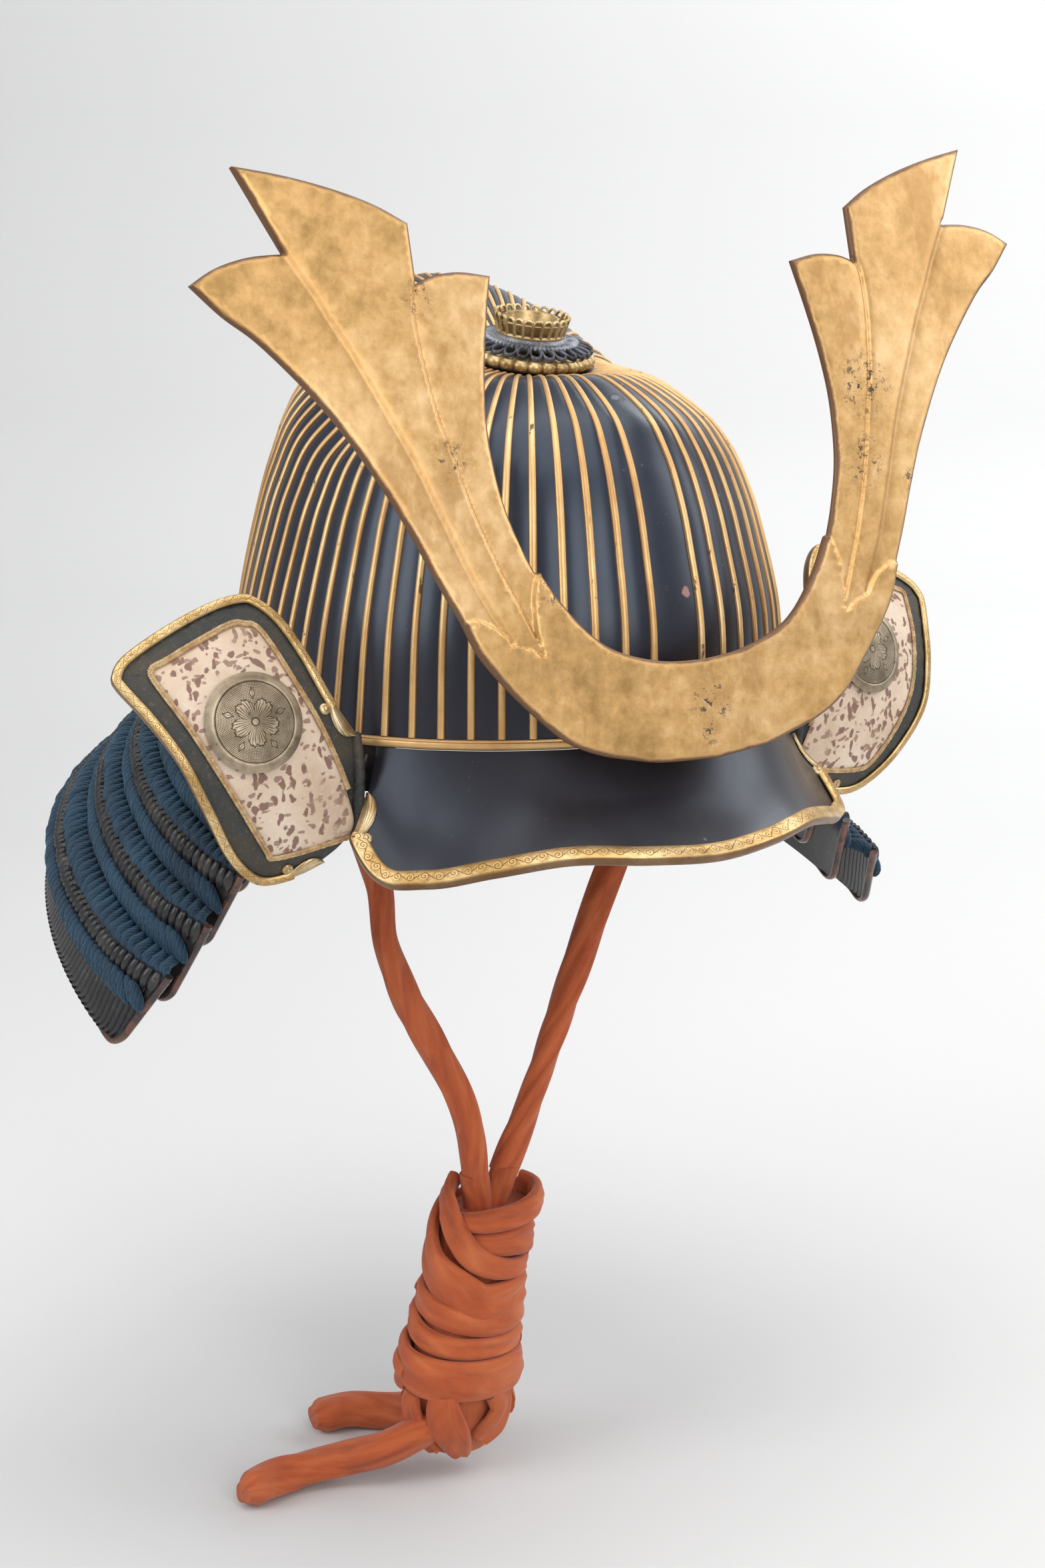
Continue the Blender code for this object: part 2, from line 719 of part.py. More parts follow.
def make_crown(helmet):
    petal_top = GAP + PETAL_RING_HEIGHT
    ring_inner = CROWN_TUBE_RADIUS + GAP
    profile = [
        (ring_inner, petal_top),
        (OPENWORK_RADIUS * 0.86, petal_top),
        (PETAL_RING_RADIUS * 0.96, petal_top * 0.72),
        (PETAL_RING_RADIUS, petal_top * 0.40),
        (PETAL_RING_RADIUS * 0.95, GAP),
        (CROWN_HOLE_RADIUS, GAP),
        (ring_inner, GAP),
    ]
    crown_turned(helmet, "crown_petal_ring", profile, "gilt_copper")

    openwork_low = petal_top + GAP
    openwork = pierced_ring(ring_inner, OPENWORK_RADIUS, OPENWORK_LOOPS, lambda share: 0.0, (0.0016, 0.0))
    obj = solidified(helmet, "crown_openwork_ring", openwork, "dark_copper", OPENWORK_THICKNESS, 0.0)
    middle = openwork_low + OPENWORK_THICKNESS / 2
    obj.matrix_world = crown_matrix() @ Matrix.Translation((0.0, 0.0, middle))

    washer_low = openwork_low + OPENWORK_THICKNESS + GAP
    washer_top = washer_low + WASHER_THICKNESS
    profile = [
        (ring_inner, washer_top),
        (WASHER_RADIUS * 0.80, washer_top),
        (WASHER_RADIUS, washer_low + WASHER_THICKNESS * 0.4),
        (WASHER_RADIUS, washer_low),
        (ring_inner, washer_low),
    ]
    crown_turned(helmet, "crown_washer", profile, "dark_copper")

    collar_low = washer_top + GAP
    collar = pierced_ring(
        COLLAR_FOOT_RADIUS,
        COLLAR_TOP_RADIUS,
        COLLAR_ARCHES,
        lambda share: COLLAR_HEIGHT * share,
        (0.0002, 0.0011),
    )
    obj = solidified(helmet, "crown_collar", collar, "gilt_copper", COLLAR_WALL, -1.0)
    obj.matrix_world = crown_matrix() @ Matrix.Translation((0.0, 0.0, collar_low))

    tube_top = collar_low + COLLAR_HEIGHT * 0.9
    tube_inner = CROWN_TUBE_RADIUS - CROWN_TUBE_WALL
    profile = [
        (tube_inner, tube_top),
        (CROWN_TUBE_RADIUS, tube_top),
        (CROWN_TUBE_RADIUS, -BOWL_WALL - GAP),
        (CROWN_HOLE_RADIUS * 1.12, -BOWL_WALL - GAP),
        (CROWN_HOLE_RADIUS * 1.12, -BOWL_WALL - GAP - CROWN_TUBE_WALL),
        (tube_inner, -BOWL_WALL - GAP - CROWN_TUBE_WALL),
    ]
    crown_turned(helmet, "crown_tube", profile, "gilt_copper")


# Visor


def visor_edge(station):
    side = 1.0 if station >= 0 else -1.0
    stations = [r.station for r in VISOR_ROWS]
    at = abs(station)
    across = smooth_value(stations, [r.across for r in VISOR_ROWS], at)
    forward = smooth_value(stations, [r.forward for r in VISOR_ROWS], at)
    drop = smooth_value(stations, [r.drop for r in VISOR_ROWS], at)
    half_width = BOWL_WIDTH / 2 + VISOR_SIDE_FLARE
    reach = BOWL_LENGTH / 2 + VISOR_FORWARD_FLARE
    return Vector((side * across * half_width, -forward * reach, -drop * VISOR_DROP))


def visor_point(station, down):
    """Place on the visor's upper face: station from -1 to 1 across, down from 0 to 1."""
    top = mouth_point(station * VISOR_HALF_ANGLE)
    top.z -= BAND_HEIGHT + 2 * GAP
    low = visor_edge(station)
    bend = Vector((top.x, top.y, 0.0)).lerp(Vector((low.x, low.y, 0.0)), 0.28)
    bend.z = top.z + (low.z - top.z) * 0.66
    return top * (1 - down) ** 2 + bend * 2 * down * (1 - down) + low * down * down


def visor_depth(station):
    """How far down the sheet goes, less where its lower corners are rounded."""
    turn = max(0.0, (abs(station) - 0.90) / 0.10)
    return 1.0 - 0.20 * turn * turn


VISOR_STATIONS = 23
VISOR_LEVELS = 4


def visor_stations():
    """Stations across the visor, closer together at the rounded corners."""
    middle = [-0.9 + 1.8 * k / (VISOR_STATIONS - 8) for k in range(VISOR_STATIONS - 7)]
    ends = [0.93, 0.96, 0.985, 1.0]
    return [-e for e in reversed(ends)] + middle + ends


def make_visor(helmet):
    stations = visor_stations()
    bm = bmesh.new()
    grid = []
    for station in stations:
        deep = visor_depth(station)
        column = []
        for level in range(VISOR_LEVELS + 1):
            column.append(bm.verts.new(visor_point(station, deep * level / VISOR_LEVELS)))
        grid.append(column)
    for a, b in zip(grid, grid[1:]):
        for level in range(VISOR_LEVELS):
            bm.faces.new((a[level], a[level + 1], b[level + 1], b[level]))
    data = bpy.data.meshes.new("visor_plate")
    bm.to_mesh(data)
    bm.free()
    obj = helmet.add("visor_plate", data, "black_lacquer")
    solid = obj.modifiers.new("wall", "SOLIDIFY")
    solid.thickness = VISOR_WALL
    solid.offset = -1.0

    places = []
    deep = visor_depth(1.0)
    for level in range(2, VISOR_LEVELS):
        places.append((-1.0, deep * level / VISOR_LEVELS))
    places += [(s, visor_depth(s)) for s in stations]
    for level in range(VISOR_LEVELS - 1, 1, -1):
        places.append((1.0, deep * level / VISOR_LEVELS))
    points = [visor_point(*place) for place in places]
    rings = []
    for i, (point, place) in enumerate(zip(points, places)):
        along = points[min(i + 1, len(points) - 1)] - points[max(i - 1, 0)]
        inner = visor_point(place[0] * 0.96, place[1] * (1 - 1 / VISOR_LEVELS))
        normal = along.cross(inner - point).normalized()
        outward = along.cross(normal).normalized()
        rings.append([point + outward * o + normal * n for o, n in rim_section(VISOR_WALL)])
    helmet.add_bmesh("visor_rim", sweep(rings), "gilt_copper")


def rim_section(wall):
    """Channel folded over a sheet's edge: outward from the edge, and above the sheet's face."""
    under = -wall - RIM_GAP
    return [
        (-RIM_LIP, RIM_GAP),
        (RIM_GAP, RIM_GAP),
        (RIM_GAP, under),
        (-RIM_LIP * 0.6, under),
        (-RIM_LIP * 0.6, under - RIM_METAL),
        (RIM_GAP + RIM_METAL, under - RIM_METAL * 0.5),
        (RIM_GAP + RIM_METAL, RIM_GAP + RIM_METAL * 0.5),
        (-RIM_LIP, RIM_GAP + RIM_METAL),
    ]


# Crest


def crest_outline():
    half = [
        (p.across * CREST_SPAN / 2, p.up * CREST_RISE)
        for p in CREST_OUTER + CREST_LOBES + CREST_INNER
    ]
    mirrored = [(-x, z) for x, z in reversed(half[1:-1])]
    return half + mirrored


def crest_matrix():
    return Matrix.Translation((0.0, -BOWL_LENGTH / 2 - CREST_STANDOFF, 0.0)) @ Matrix.Rotation(-CREST_ROLL, 4, "Y")


def crest_place(across, up, behind):
    """Place on the crest's front face, or some way behind it, before it is rolled."""
    y = up * math.sin(CREST_LEAN) + across * across / (2 * CREST_WRAP_RADIUS) + behind * math.cos(CREST_LEAN)
    z = up * math.cos(CREST_LEAN) - behind * math.sin(CREST_LEAN)
    return Vector((across, y, z))


def make_crest(helmet):
    count = int(CREST_SPAN / 2 / CREST_CELL)
    cuts = [CREST_CELL * k for k in range(-count, count + 1)]
    bm = sheet_from_outline(crest_outline(), cuts, [], lambda x, z: 1.0, lambda x, z: 0.0)
    for vert in bm.verts:
        vert.co = crest_place(vert.co.x, vert.co.z, vert.co.y * CREST_THICKNESS)
    obj = helmet.add_bmesh("crest_plate", bm, "crest_gold")
    obj.matrix_world = crest_matrix()

    half = SOCKET_WIDTH / 2
    low = SOCKET_LIFT
    high = SOCKET_LIFT + SOCKET_HEIGHT
    centres, _, angle_at = mouth_angles()
    back = mouth_point(angle_at(centres[0] - RIB_WIDTH / 2)).y - GAP
    rings = []
    for x in (-half, half):
        place = crest_matrix()
        front_low = place @ crest_place(x, low, CREST_THICKNESS + 2 * GAP)
        front_high = place @ crest_place(x, high, CREST_THICKNESS + 2 * GAP)
        rings.append(
            [
                front_low,
                front_high,
                Vector((x, back, front_high.z)),
                Vector((x, back, front_low.z)),
            ]
        )
    helmet.add_bmesh("crest_socket", sweep(rings), "iron")


# Ear plates


def plate_surface(x, z):
    """Y of an ear plate's front face, for either side."""
    across = abs(x) - ear_inner() - TURNBACK_WIDTH * 0.48
    bow = across * across / (2 * TURNBACK_RADIUS_ACROSS) + z * z / (2 * TURNBACK_RADIUS_UP)
    return -ear_forward() - TURNBACK_AHEAD + TURNBACK_SLOPE * across + TURNBACK_LEAN * z + bow


def plate_points(rows, side, closed):
    """Smooth outline through rows of shares, on one side of the helmet."""
    points = []
    for row in rows:
        swell = row.left_swell if side > 0 else 0.0
        x = ear_inner() + (row.across + swell) * TURNBACK_WIDTH
        points.append(Vector((side * x, row.up * TURNBACK_HEIGHT)))
    fine = []
    count = len(points)
    spans = count if closed else count - 1
    for i in range(spans):
        a, b = points[i], points[(i + 1) % count]
        before = points[i - 1] if (closed or i) else a * 2 - b
        after = points[(i + 2) % count] if (closed or i + 2 < count) else b * 2 - a
        fine.append(a)
        parts = math.ceil((b - a).length / OUTLINE_STEP)
        for k in range(1, parts):
            t = k / parts
            curve = (1 - t) * (b - a * 2 + before) * (2 - t) + t * (after - b * 2 + a) * (1 + t)
            fine.append(a.lerp(b, t) - curve * (t * (1 - t) / 6))
    if not closed:
        fine.append(points[-1])
    return fine


def outward_at(points, i, closed):
    last = len(points) - 1
    before = points[i - 1] if (closed or i) else points[i]
    after = points[(i + 1) % len(points)] if (closed or i < last) else points[i]
    along = (after - before).normalized()
    return Vector((along.y, -along.x))


def cell_cuts(low, high):
    first = math.ceil(low / TURNBACK_CELL)
    last = math.floor(high / TURNBACK_CELL)
    return [TURNBACK_CELL * k for k in range(first, last + 1)]


def layered_sheet(outline, front_of_face, thickness_at):
    """A sheet laid over the ear plate's face, cut on the same cells as the plate."""
    xs = [p[0] for p in outline]
    zs = [p[1] for p in outline]
    return sheet_from_outline(
        outline,
        cell_cuts(min(xs), max(xs)),
        cell_cuts(min(zs), max(zs)),
        lambda x, z: plate_surface(x, z) - front_of_face,
        lambda x, z: plate_surface(x, z) - front_of_face - thickness_at(x, z),
    )


def make_turnback(helmet, side, word):
    name = "turnback_" + word
    outline = plate_points(PLATE_OUTLINE, side, True)
    plate = layered_sheet(outline, -TURNBACK_WALL, lambda x, z: TURNBACK_WALL)
    helmet.add_bmesh(name + "_plate", plate, "border_leather")

    rimmed = plate_points(PLATE_OUTLINE[:RIMMED_POINTS], side, False)
    rings = []
    for i, point in enumerate(rimmed):
        outward = outward_at(rimmed, i, False) * -side
        ring = []
        for o, n in rim_section(TURNBACK_WALL):
            x = point.x + outward.x * o
            z = point.y + outward.y * o
            ring.append(Vector((x, plate_surface(x, z) - n, z)))
        rings.append(ring)
    helmet.add_bmesh(name + "_rim", sweep(rings), "gilt_copper")

    panel_outline = plate_points(PANEL_OUTLINE, side, True)
    panel = layered_sheet(panel_outline, GAP, lambda x, z: PANEL_THICKNESS)
    helmet.add_bmesh(name + "_panel", panel, "pale_leather")

    braid_line = plate_points(PANEL_OUTLINE, side, False)
    radius = BRAID_DIAMETER / 2
    points = []
    for i, point in enumerate(braid_line):
        place = point + outward_at(braid_line, i, False) * -side * (radius + 2 * GAP)
        y = plate_surface(place.x, place.y) - radius - 1.5 * GAP
        points.append((place.x, y, place.y))
    helmet.add_tube(name + "_braid", points, BRAID_DIAMETER, "braid_silk", resolution=0)

    centre = Vector((side * (ear_inner() + MEDALLION_ACROSS), MEDALLION_UP))
    circle = []
    for k in range(24):
        turn = 2 * math.pi * k / 24
        circle.append((centre.x + MEDALLION_RADIUS * math.cos(turn), centre.y + MEDALLION_RADIUS * math.sin(turn)))

    def dome(x, z):
        share = min(1.0, math.hypot(x - centre.x, z - centre.y) / MEDALLION_RADIUS)
        return MEDALLION_THICKNESS * (1.0 - 0.62 * share**3)

    medallion = layered_sheet(circle, 2 * GAP + PANEL_THICKNESS, dome)
    helmet.add_bmesh(name + "_medallion", medallion, "medallion_brass")


# Neck guard


def lame_edge_point(edge, share):
    """Place on a lame's edge; share runs from -1 to 1 round the back."""
    half_width = BOWL_WIDTH / 2 + edge.side * GUARD_SIDE_FLARE
    back = BOWL_LENGTH / 2 + edge.back * GUARD_BACK_FLARE
    front = ear_forward() - edge.setback * GUARD_END_SETBACK
    spread = max(LAME_FRONT_SPREAD, front * 1.6)
    angle = share * (math.pi / 2 + math.asin(front / spread))
    depth = back if math.cos(angle) > 0 else spread
    y = depth * math.cos(angle)
    behind = (y + front) / (back + front)
    drop = GUARD_DROP * (edge.front_drop + (edge.back_drop - edge.front_drop) * behind)
    return Vector((half_width * math.sin(angle), y, -drop))


def lame_point(lame, share, down, outward):
    """Place on a lame's outer face, down from 0 to 1, or some way outward from it."""
    step = 0.01
    top = lame_edge_point(lame.top, share)
    low = lame_edge_point(lame.low, share)
    after = lame_edge_point(lame.top, share + step) + lame_edge_point(lame.low, share + step)
    before = lame_edge_point(lame.top, share - step) + lame_edge_point(lame.low, share - step)
    normal = (after - before).cross(low - top).normalized()
    return top.lerp(low, down) + normal * outward


def lame_shares():
    return [-1.0 + 2.0 * k / LAME_COLUMNS for k in range(LAME_COLUMNS + 1)]


def lame_strip(lame, corners):
    """A strip along a lame; each corner of its section is (down, outward)."""
    return sweep([[lame_point(lame, s, d, o) for d, o in corners] for s in lame_shares()])


def make_neck_guard(helmet):
    for number, lame in enumerate(LAMES, start=1):
        high = SCALE_HEAD_SHARE
        low = SCALE_HEAD_SHARE + FACE_LACING_SHARE
        outside = [(0.0, 0.0), (high, 0.0), (low, 0.0), (1.0, 0.0)]
        inside = [(1.0, -LAME_WALL), (HANG_LACING_SHARE, -LAME_WALL), (0.0, -LAME_WALL)]
        helmet.add_bmesh(f"neck_lame_{number}", lame_strip(lame, outside + inside), "lame_lacquer")
        top = LACING_GAP + LACING_THICKNESS
        section = [(high, LACING_GAP), (high, top), (low, top), (low, LACING_GAP)]
        helmet.add_bmesh(f"lacing_face_{number}", lame_strip(lame, section), "blue_lacing")
    for number, (upper, lower) in enumerate(zip(LAMES, LAMES[1:]), start=1):
        rings = []
        for share in lame_shares():
            ring = [lame_point(upper, share, d, GAP) for d in (1.0 - HANG_LACING_SHARE, 1.0 - LACING_MARGIN)]
            ring += [lame_point(lower, share, d, -LAME_WALL - GAP) for d in (HANG_LACING_SHARE, LACING_MARGIN)]
            rings.append(ring)
        helmet.add_bmesh(f"lacing_hang_{number}", sweep(rings), "blue_lacing")


# Chin cord


def make_cord(helmet):
    helmet.add_tube("chin_cord_loop", smooth_path(CORD_ROUTE, CORD_SPACING), CORD_DIAMETER, "orange_cloth")
    front = smooth_path(FRONT_TAIL_ROUTE, TAIL_SPACING)
    rear = smooth_path(REAR_TAIL_ROUTE, TAIL_SPACING)
    helmet.add_tube("chin_cord_tail_front", front, TAIL_DIAMETER, "orange_cloth")
    helmet.add_tube("chin_cord_tail_rear", rear, TAIL_DIAMETER, "orange_cloth")

    sides = 12
    rings = []
    for row in HANK_ROWS:
        ring = []
        for k in range(sides):
            turn = 2 * math.pi * k / sides
            x = HANK_WIDTH * (row.middle + row.half * math.cos(turn))
            y = HANK_DEPTH * row.half * 0.85 * math.sin(turn)
            ring.append(Vector((x, y, -HANK_TOP - HANK_HEIGHT * (1.0 - row.height))))
        rings.append(ring)
    helmet.add_bmesh("chin_cord_hank", sweep(rings), "orange_cloth")

    for side, word in ((-1, "right"), (1, "left")):
        centre_x = BOWL_WIDTH / 2 - WAIST_PLATE_WALL - RING_INSET - RING_RADIUS - RING_WIRE / 2
        bpy.ops.mesh.primitive_torus_add(
            major_radius=RING_RADIUS,
            minor_radius=RING_WIRE / 2,
            major_segments=14,
            minor_segments=5,
            location=(side * centre_x, RING_BACK, -RING_DROP),
            rotation=(math.pi / 2, 0.0, 0.0),
        )
        ring = bpy.context.object
        ring.name = "cord_ring_" + word
        ring.data.name = ring.name
        for collection in list(ring.users_collection):
            collection.objects.unlink(ring)
        helmet.collection.objects.link(ring)
        ring.data.materials.append(new_material(ring.name, *FINISHES["iron"]))
        ring.data.shade_smooth()


def main():
    clear_scene()
    helmet = Helmet()
    make_bowl(helmet)
    make_band(helmet)
    make_waist_plate(helmet)
    make_crown(helmet)
    make_visor(helmet)
    make_crest(helmet)
    make_turnback(helmet, -1, "right")
    make_turnback(helmet, 1, "left")
    make_neck_guard(helmet)
    make_cord(helmet)


main()
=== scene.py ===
import math

import bmesh
import bpy
import numpy as np
from mathutils import Matrix, Vector, geometry, kdtree


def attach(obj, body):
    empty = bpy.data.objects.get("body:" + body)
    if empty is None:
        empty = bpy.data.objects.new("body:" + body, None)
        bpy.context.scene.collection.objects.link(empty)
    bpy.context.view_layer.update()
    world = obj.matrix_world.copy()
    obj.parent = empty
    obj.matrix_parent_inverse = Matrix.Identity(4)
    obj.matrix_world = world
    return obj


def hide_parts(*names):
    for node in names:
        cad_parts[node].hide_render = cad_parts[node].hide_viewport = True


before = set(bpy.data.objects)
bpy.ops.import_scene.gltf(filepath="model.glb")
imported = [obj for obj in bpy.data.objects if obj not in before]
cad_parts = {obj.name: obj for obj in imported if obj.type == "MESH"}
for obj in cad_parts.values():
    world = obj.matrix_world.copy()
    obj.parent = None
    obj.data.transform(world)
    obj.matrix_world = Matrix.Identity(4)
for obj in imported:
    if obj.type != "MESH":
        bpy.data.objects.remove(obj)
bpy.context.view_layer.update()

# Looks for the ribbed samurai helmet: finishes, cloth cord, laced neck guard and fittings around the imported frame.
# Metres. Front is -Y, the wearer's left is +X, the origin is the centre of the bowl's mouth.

tau = 2 * math.pi

camera = {
    "place": (-0.5569, -0.879, 0.1927),
    "forward": (0.5281, 0.8197, -0.2217),
    "lens": 55.0,
    "sensor": 36.0,  # the long side, in millimetres like the lens
    "nearest": 0.02,
}
studio = {
    "floorDrop": 0.3683,
    "floorColour": (0.61, 0.61, 0.61),
    "floorHalfWidth": 4.0,
    "floorProfile": [  # away from the camera and up
        (-4.0, 0.0), (1.2, 0.0), (1.5, 0.03), (1.75, 0.14), (1.9, 0.35), (1.95, 0.7), (1.95, 3.0),
    ],
    "worldColour": (0.95, 0.97, 1.0),
    "worldStrength": 0.46,
    "lamps": [  # name, place, aim, size, watts, colour
        ("topSoftbox", (-0.15, -0.35, 1.6), (0.0, 0.0, 0.0), 1.8, 24.0, (1.0, 0.98, 0.95)),
        ("frontSoftbox", (-0.3, -2.0, 0.75), (0.0, 0.0, 0.0), 1.3, 18.0, (1.0, 0.99, 0.97)),
        ("rightSoftbox", (1.75, -0.75, 0.9), (0.0, 0.0, -0.05), 1.2, 14.0, (0.98, 0.99, 1.0)),
        ("leftSoftbox", (-1.6, 0.1, 0.7), (0.0, 0.0, -0.05), 1.0, 12.0, (0.98, 0.99, 1.0)),
        ("backdropSoftbox", (1.6, 0.4, 1.5), (1.5, 1.7, 0.1), 1.2, 24.0, (1.0, 1.0, 1.0)),
    ],
}


def mathNode(operation, swapped=False):
    # a method of Value that adds one Math node
    def method(self, other=0.0):
        first, second = (other, self) if swapped else (self, other)
        return self.finish.node("ShaderNodeMath", {"operation": operation}, {0: first, 1: second})

    return method


class Value:
    # a number, colour or vector that varies over a surface; sums and products add Math nodes
    __add__, __radd__ = mathNode("ADD"), mathNode("ADD", True)
    __sub__, __rsub__ = mathNode("SUBTRACT"), mathNode("SUBTRACT", True)
    __mul__, __rmul__ = mathNode("MULTIPLY"), mathNode("MULTIPLY", True)
    __truediv__, __pow__, __mod__ = mathNode("DIVIDE"), mathNode("POWER"), mathNode("FLOORED_MODULO")
    __gt__, __lt__, __abs__ = mathNode("GREATER_THAN"), mathNode("LESS_THAN"), mathNode("ABSOLUTE")
    wave, floor, angleOver = mathNode("SINE"), mathNode("FLOOR"), mathNode("ARCTAN2")
    least, most = mathNode("MINIMUM"), mathNode("MAXIMUM")

    def __init__(self, finish, socket):
        self.finish = finish
        self.socket = socket

    def rise(self, low, high):  # 0 below low, 1 above high, eased between; low may be above high
        ends = {"Value": self, "From Min": low, "From Max": high}
        return self.finish.node("ShaderNodeMapRange", {"interpolation_type": "SMOOTHSTEP"}, ends)


class Finish:
    # one material, built from nodes
    def __init__(self, name, colour, roughness, metallic=0.0, fixed=()):
        self.material = bpy.data.materials.new(name)
        self.material.use_nodes = True
        self.material.diffuse_color = (*colour, 1.0)
        self.tree = self.material.node_tree
        self.shader = self.tree.nodes["Principled BSDF"]
        self.put({"Base Color": colour, "Roughness": roughness, "Metallic": metallic, **dict(fixed)})

    def fill(self, socket, value):
        if isinstance(value, Value):
            self.tree.links.new(value.socket, socket)
        elif socket.type == "RGBA":
            socket.default_value = (*value[:3], 1.0)
        else:
            socket.default_value = value

    def put(self, sockets):
        for name, value in sockets.items():
            self.fill(self.shader.inputs[name], value)

    def node(self, kind, settings=(), sockets=(), out=0):
        made = self.tree.nodes.new(kind)
        for name, value in dict(settings).items():
            if name == "stops":
                ramp = made.color_ramp.elements
                while len(ramp) < len(value):
                    ramp.new(0.5)
                for stop, (at, colour) in zip(ramp, value):
                    stop.position = at
                    stop.color = (*colour, 1.0)
            else:
                setattr(made, name, value)
        for name, value in dict(sockets).items():
            self.fill(made.inputs[name], value)
        if out == "all":
            return [Value(self, socket) for socket in made.outputs]
        return Value(self, made.outputs[out])

    def place(self):
        return self.node("ShaderNodeTexCoord", out=3)

    def flow(self):  # along and across a strip, in metres
        return self.node("ShaderNodeUVMap", {"uv_map": "flow"})

    def split(self, vector):
        return self.node("ShaderNodeSeparateXYZ", (), {0: vector}, "all")

    def join(self, x, y, z=0.0):
        return self.node("ShaderNodeCombineXYZ", (), {0: x, 1: y, 2: z})

    def stretched(self, vector, scale):
        return self.node("ShaderNodeVectorMath", {"operation": "MULTIPLY"}, {0: vector, 1: scale})

    def noise(self, scale, detail=3.0, roughness=0.55, at=None, warp=0.0):
        sockets = {"Scale": scale, "Detail": detail, "Roughness": roughness, "Distortion": warp}
        return self.node("ShaderNodeTexNoise", (), {"Vector": at or self.place(), **sockets})

    def cells(self, scale, at=None):
        return self.node("ShaderNodeTexVoronoi", (), {"Vector": at or self.place(), "Scale": scale})

    def awayFrom(self, centre):
        return self.node("ShaderNodeVectorMath", {"operation": "DISTANCE"}, {0: self.place(), 1: centre}, 1)

    def mix(self, share, first, second):
        return self.node("ShaderNodeMix", {"data_type": "RGBA"}, {0: share, 6: first, 7: second}, 2)

    def ramp(self, value, stops):
        return self.node("ShaderNodeValToRGB", {"stops": stops}, {0: value})

    def bump(self, height, distance, strength=1.0):
        sockets = {"Strength": strength, "Distance": distance, "Height": height}
        self.put({"Normal": self.node("ShaderNodeBump", (), sockets)})

    def done(self):
        return self.material


def addPiece(name, mesh, finish, sharp=60):
    # sharp: edges that turn by more than so many degrees stay hard
    work = bmesh.new()
    work.from_mesh(mesh)
    bmesh.ops.recalc_face_normals(work, faces=work.faces)
    work.to_mesh(mesh)
    work.free()
    mesh.materials.append(finish)
    mesh.shade_smooth()
    mesh.set_sharp_from_angle(angle=math.radians(sharp))
    piece = bpy.data.objects.new(name, mesh)
    bpy.context.scene.collection.objects.link(piece)
    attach(piece, "root")
    return piece


def gridParts(grid, closeAlong=False, closeAcross=False, caps=False, flow=None, start=0):
    # faces and their flow for points laid out in rows along and columns across
    along, across = grid.shape[:2]
    spans = np.arange(along - (not closeAlong)), np.arange(across - (not closeAcross))
    i, j = [index.ravel() for index in np.meshgrid(*spans, indexing="ij")]
    corners = [(i, j), (i, j + 1), (i + 1, j + 1), (i + 1, j)]
    index = np.stack([(a % along) * across + b % across for a, b in corners], 1) + start
    faces = index.tolist()
    uv = None
    if flow is not None:
        uv = np.stack([flow[a, b] for a, b in corners], 1).reshape(-1, 2)
    if caps:
        faces.append(list(range(start, start + across)))
        faces.append(list(range(start + (along - 1) * across, start + along * across)))
        if uv is not None:
            uv = np.concatenate([uv, flow[0, :across], flow[-1, :across]])
    return faces, uv


def flowOver(alongs, acrosses):
    a, b = np.meshgrid(alongs, acrosses, indexing="ij")
    return np.stack([a, b], 2)


def buildMesh(name, parts):
    # parts are pairs of a grid of points and the options of gridParts for it
    points, faces, flows = [], [], []
    start = 0
    for grid, options in parts:
        grid = np.asarray(grid, float)
        partFaces, uv = gridParts(grid, start=start, **options)
        points.append(grid.reshape(-1, 3))
        faces += partFaces
        flows.append(uv)
        start += grid.shape[0] * grid.shape[1]
    mesh = bpy.data.meshes.new(name)
    mesh.from_pydata(np.concatenate(points).tolist(), [], faces)
    if flows[0] is not None:
        layer = mesh.uv_layers.new(name="flow")
        layer.data.foreach_set("uv", np.concatenate(flows).ravel())
    return mesh


def circle(count):
    return np.linspace(0, tau, count, endpoint=False)


def tube(rings, alongs=None, acrosses=None):
    # a part for buildMesh: closed rings with a cap at either end
    flow = None if alongs is None else flowOver(alongs, acrosses)
    return np.array(rings), {"closeAcross": True, "caps": True, "flow": flow}


def pieceOf(name, parts, material, sharp=60):
    return addPiece(name, buildMesh(name, parts), material, sharp)


def twoSkins(name, upper, lower, faces, count, flow):
    # a closed sheet from two skins with the same faces, joined along their first count points
    total = len(upper)
    allFaces = [tuple(f) for f in faces] + [tuple(total + i for i in reversed(f)) for f in faces]
    for i in range(count):
        j = (i + 1) % count
        allFaces.append((j, i, total + i, total + j))
    mesh = bpy.data.meshes.new(name)
    mesh.from_pydata(np.concatenate([upper, lower]).tolist(), [], allFaces)
    layer = mesh.uv_layers.new(name="flow")
    index = np.array([corner.vertex_index for corner in mesh.loops])
    layer.data.foreach_set("uv", flow[index].ravel())
    return mesh


def smoothRows(points, steps):
    # points (n, ...) on a smooth curve through the given ones, steps to a span
    points = np.asarray(points, float)
    last = len(points) - 1
    at = np.linspace(0, last, last * steps + 1)
    i = np.minimum(at.astype(int), last - 1)
    t = (at - i).reshape(-1, *([1] * (points.ndim - 1)))
    padded = np.concatenate([2 * points[:1] - points[1:2], points, 2 * points[-1:] - points[-2:-1]])
    a, b, c, d = padded[i], padded[i + 1], padded[i + 2], padded[i + 3]
    return 0.5 * (2 * b + (c - a) * t + (2 * a - 5 * b + 4 * c - d) * t**2 + (3 * b - a - 3 * c + d) * t**3)


def unit(vectors):
    return vectors / (np.linalg.norm(vectors, axis=-1, keepdims=True) + 1e-12)


def lengthAlong(path):
    return np.concatenate([[0.0], np.cumsum(np.linalg.norm(np.diff(path, axis=0), axis=1))])


def evenLine(line, spacing):
    far = lengthAlong(line)
    at = np.linspace(0, far[-1], max(3, round(far[-1] / spacing) + 1))
    return np.stack([np.interp(at, far, column) for column in line.T], 1)


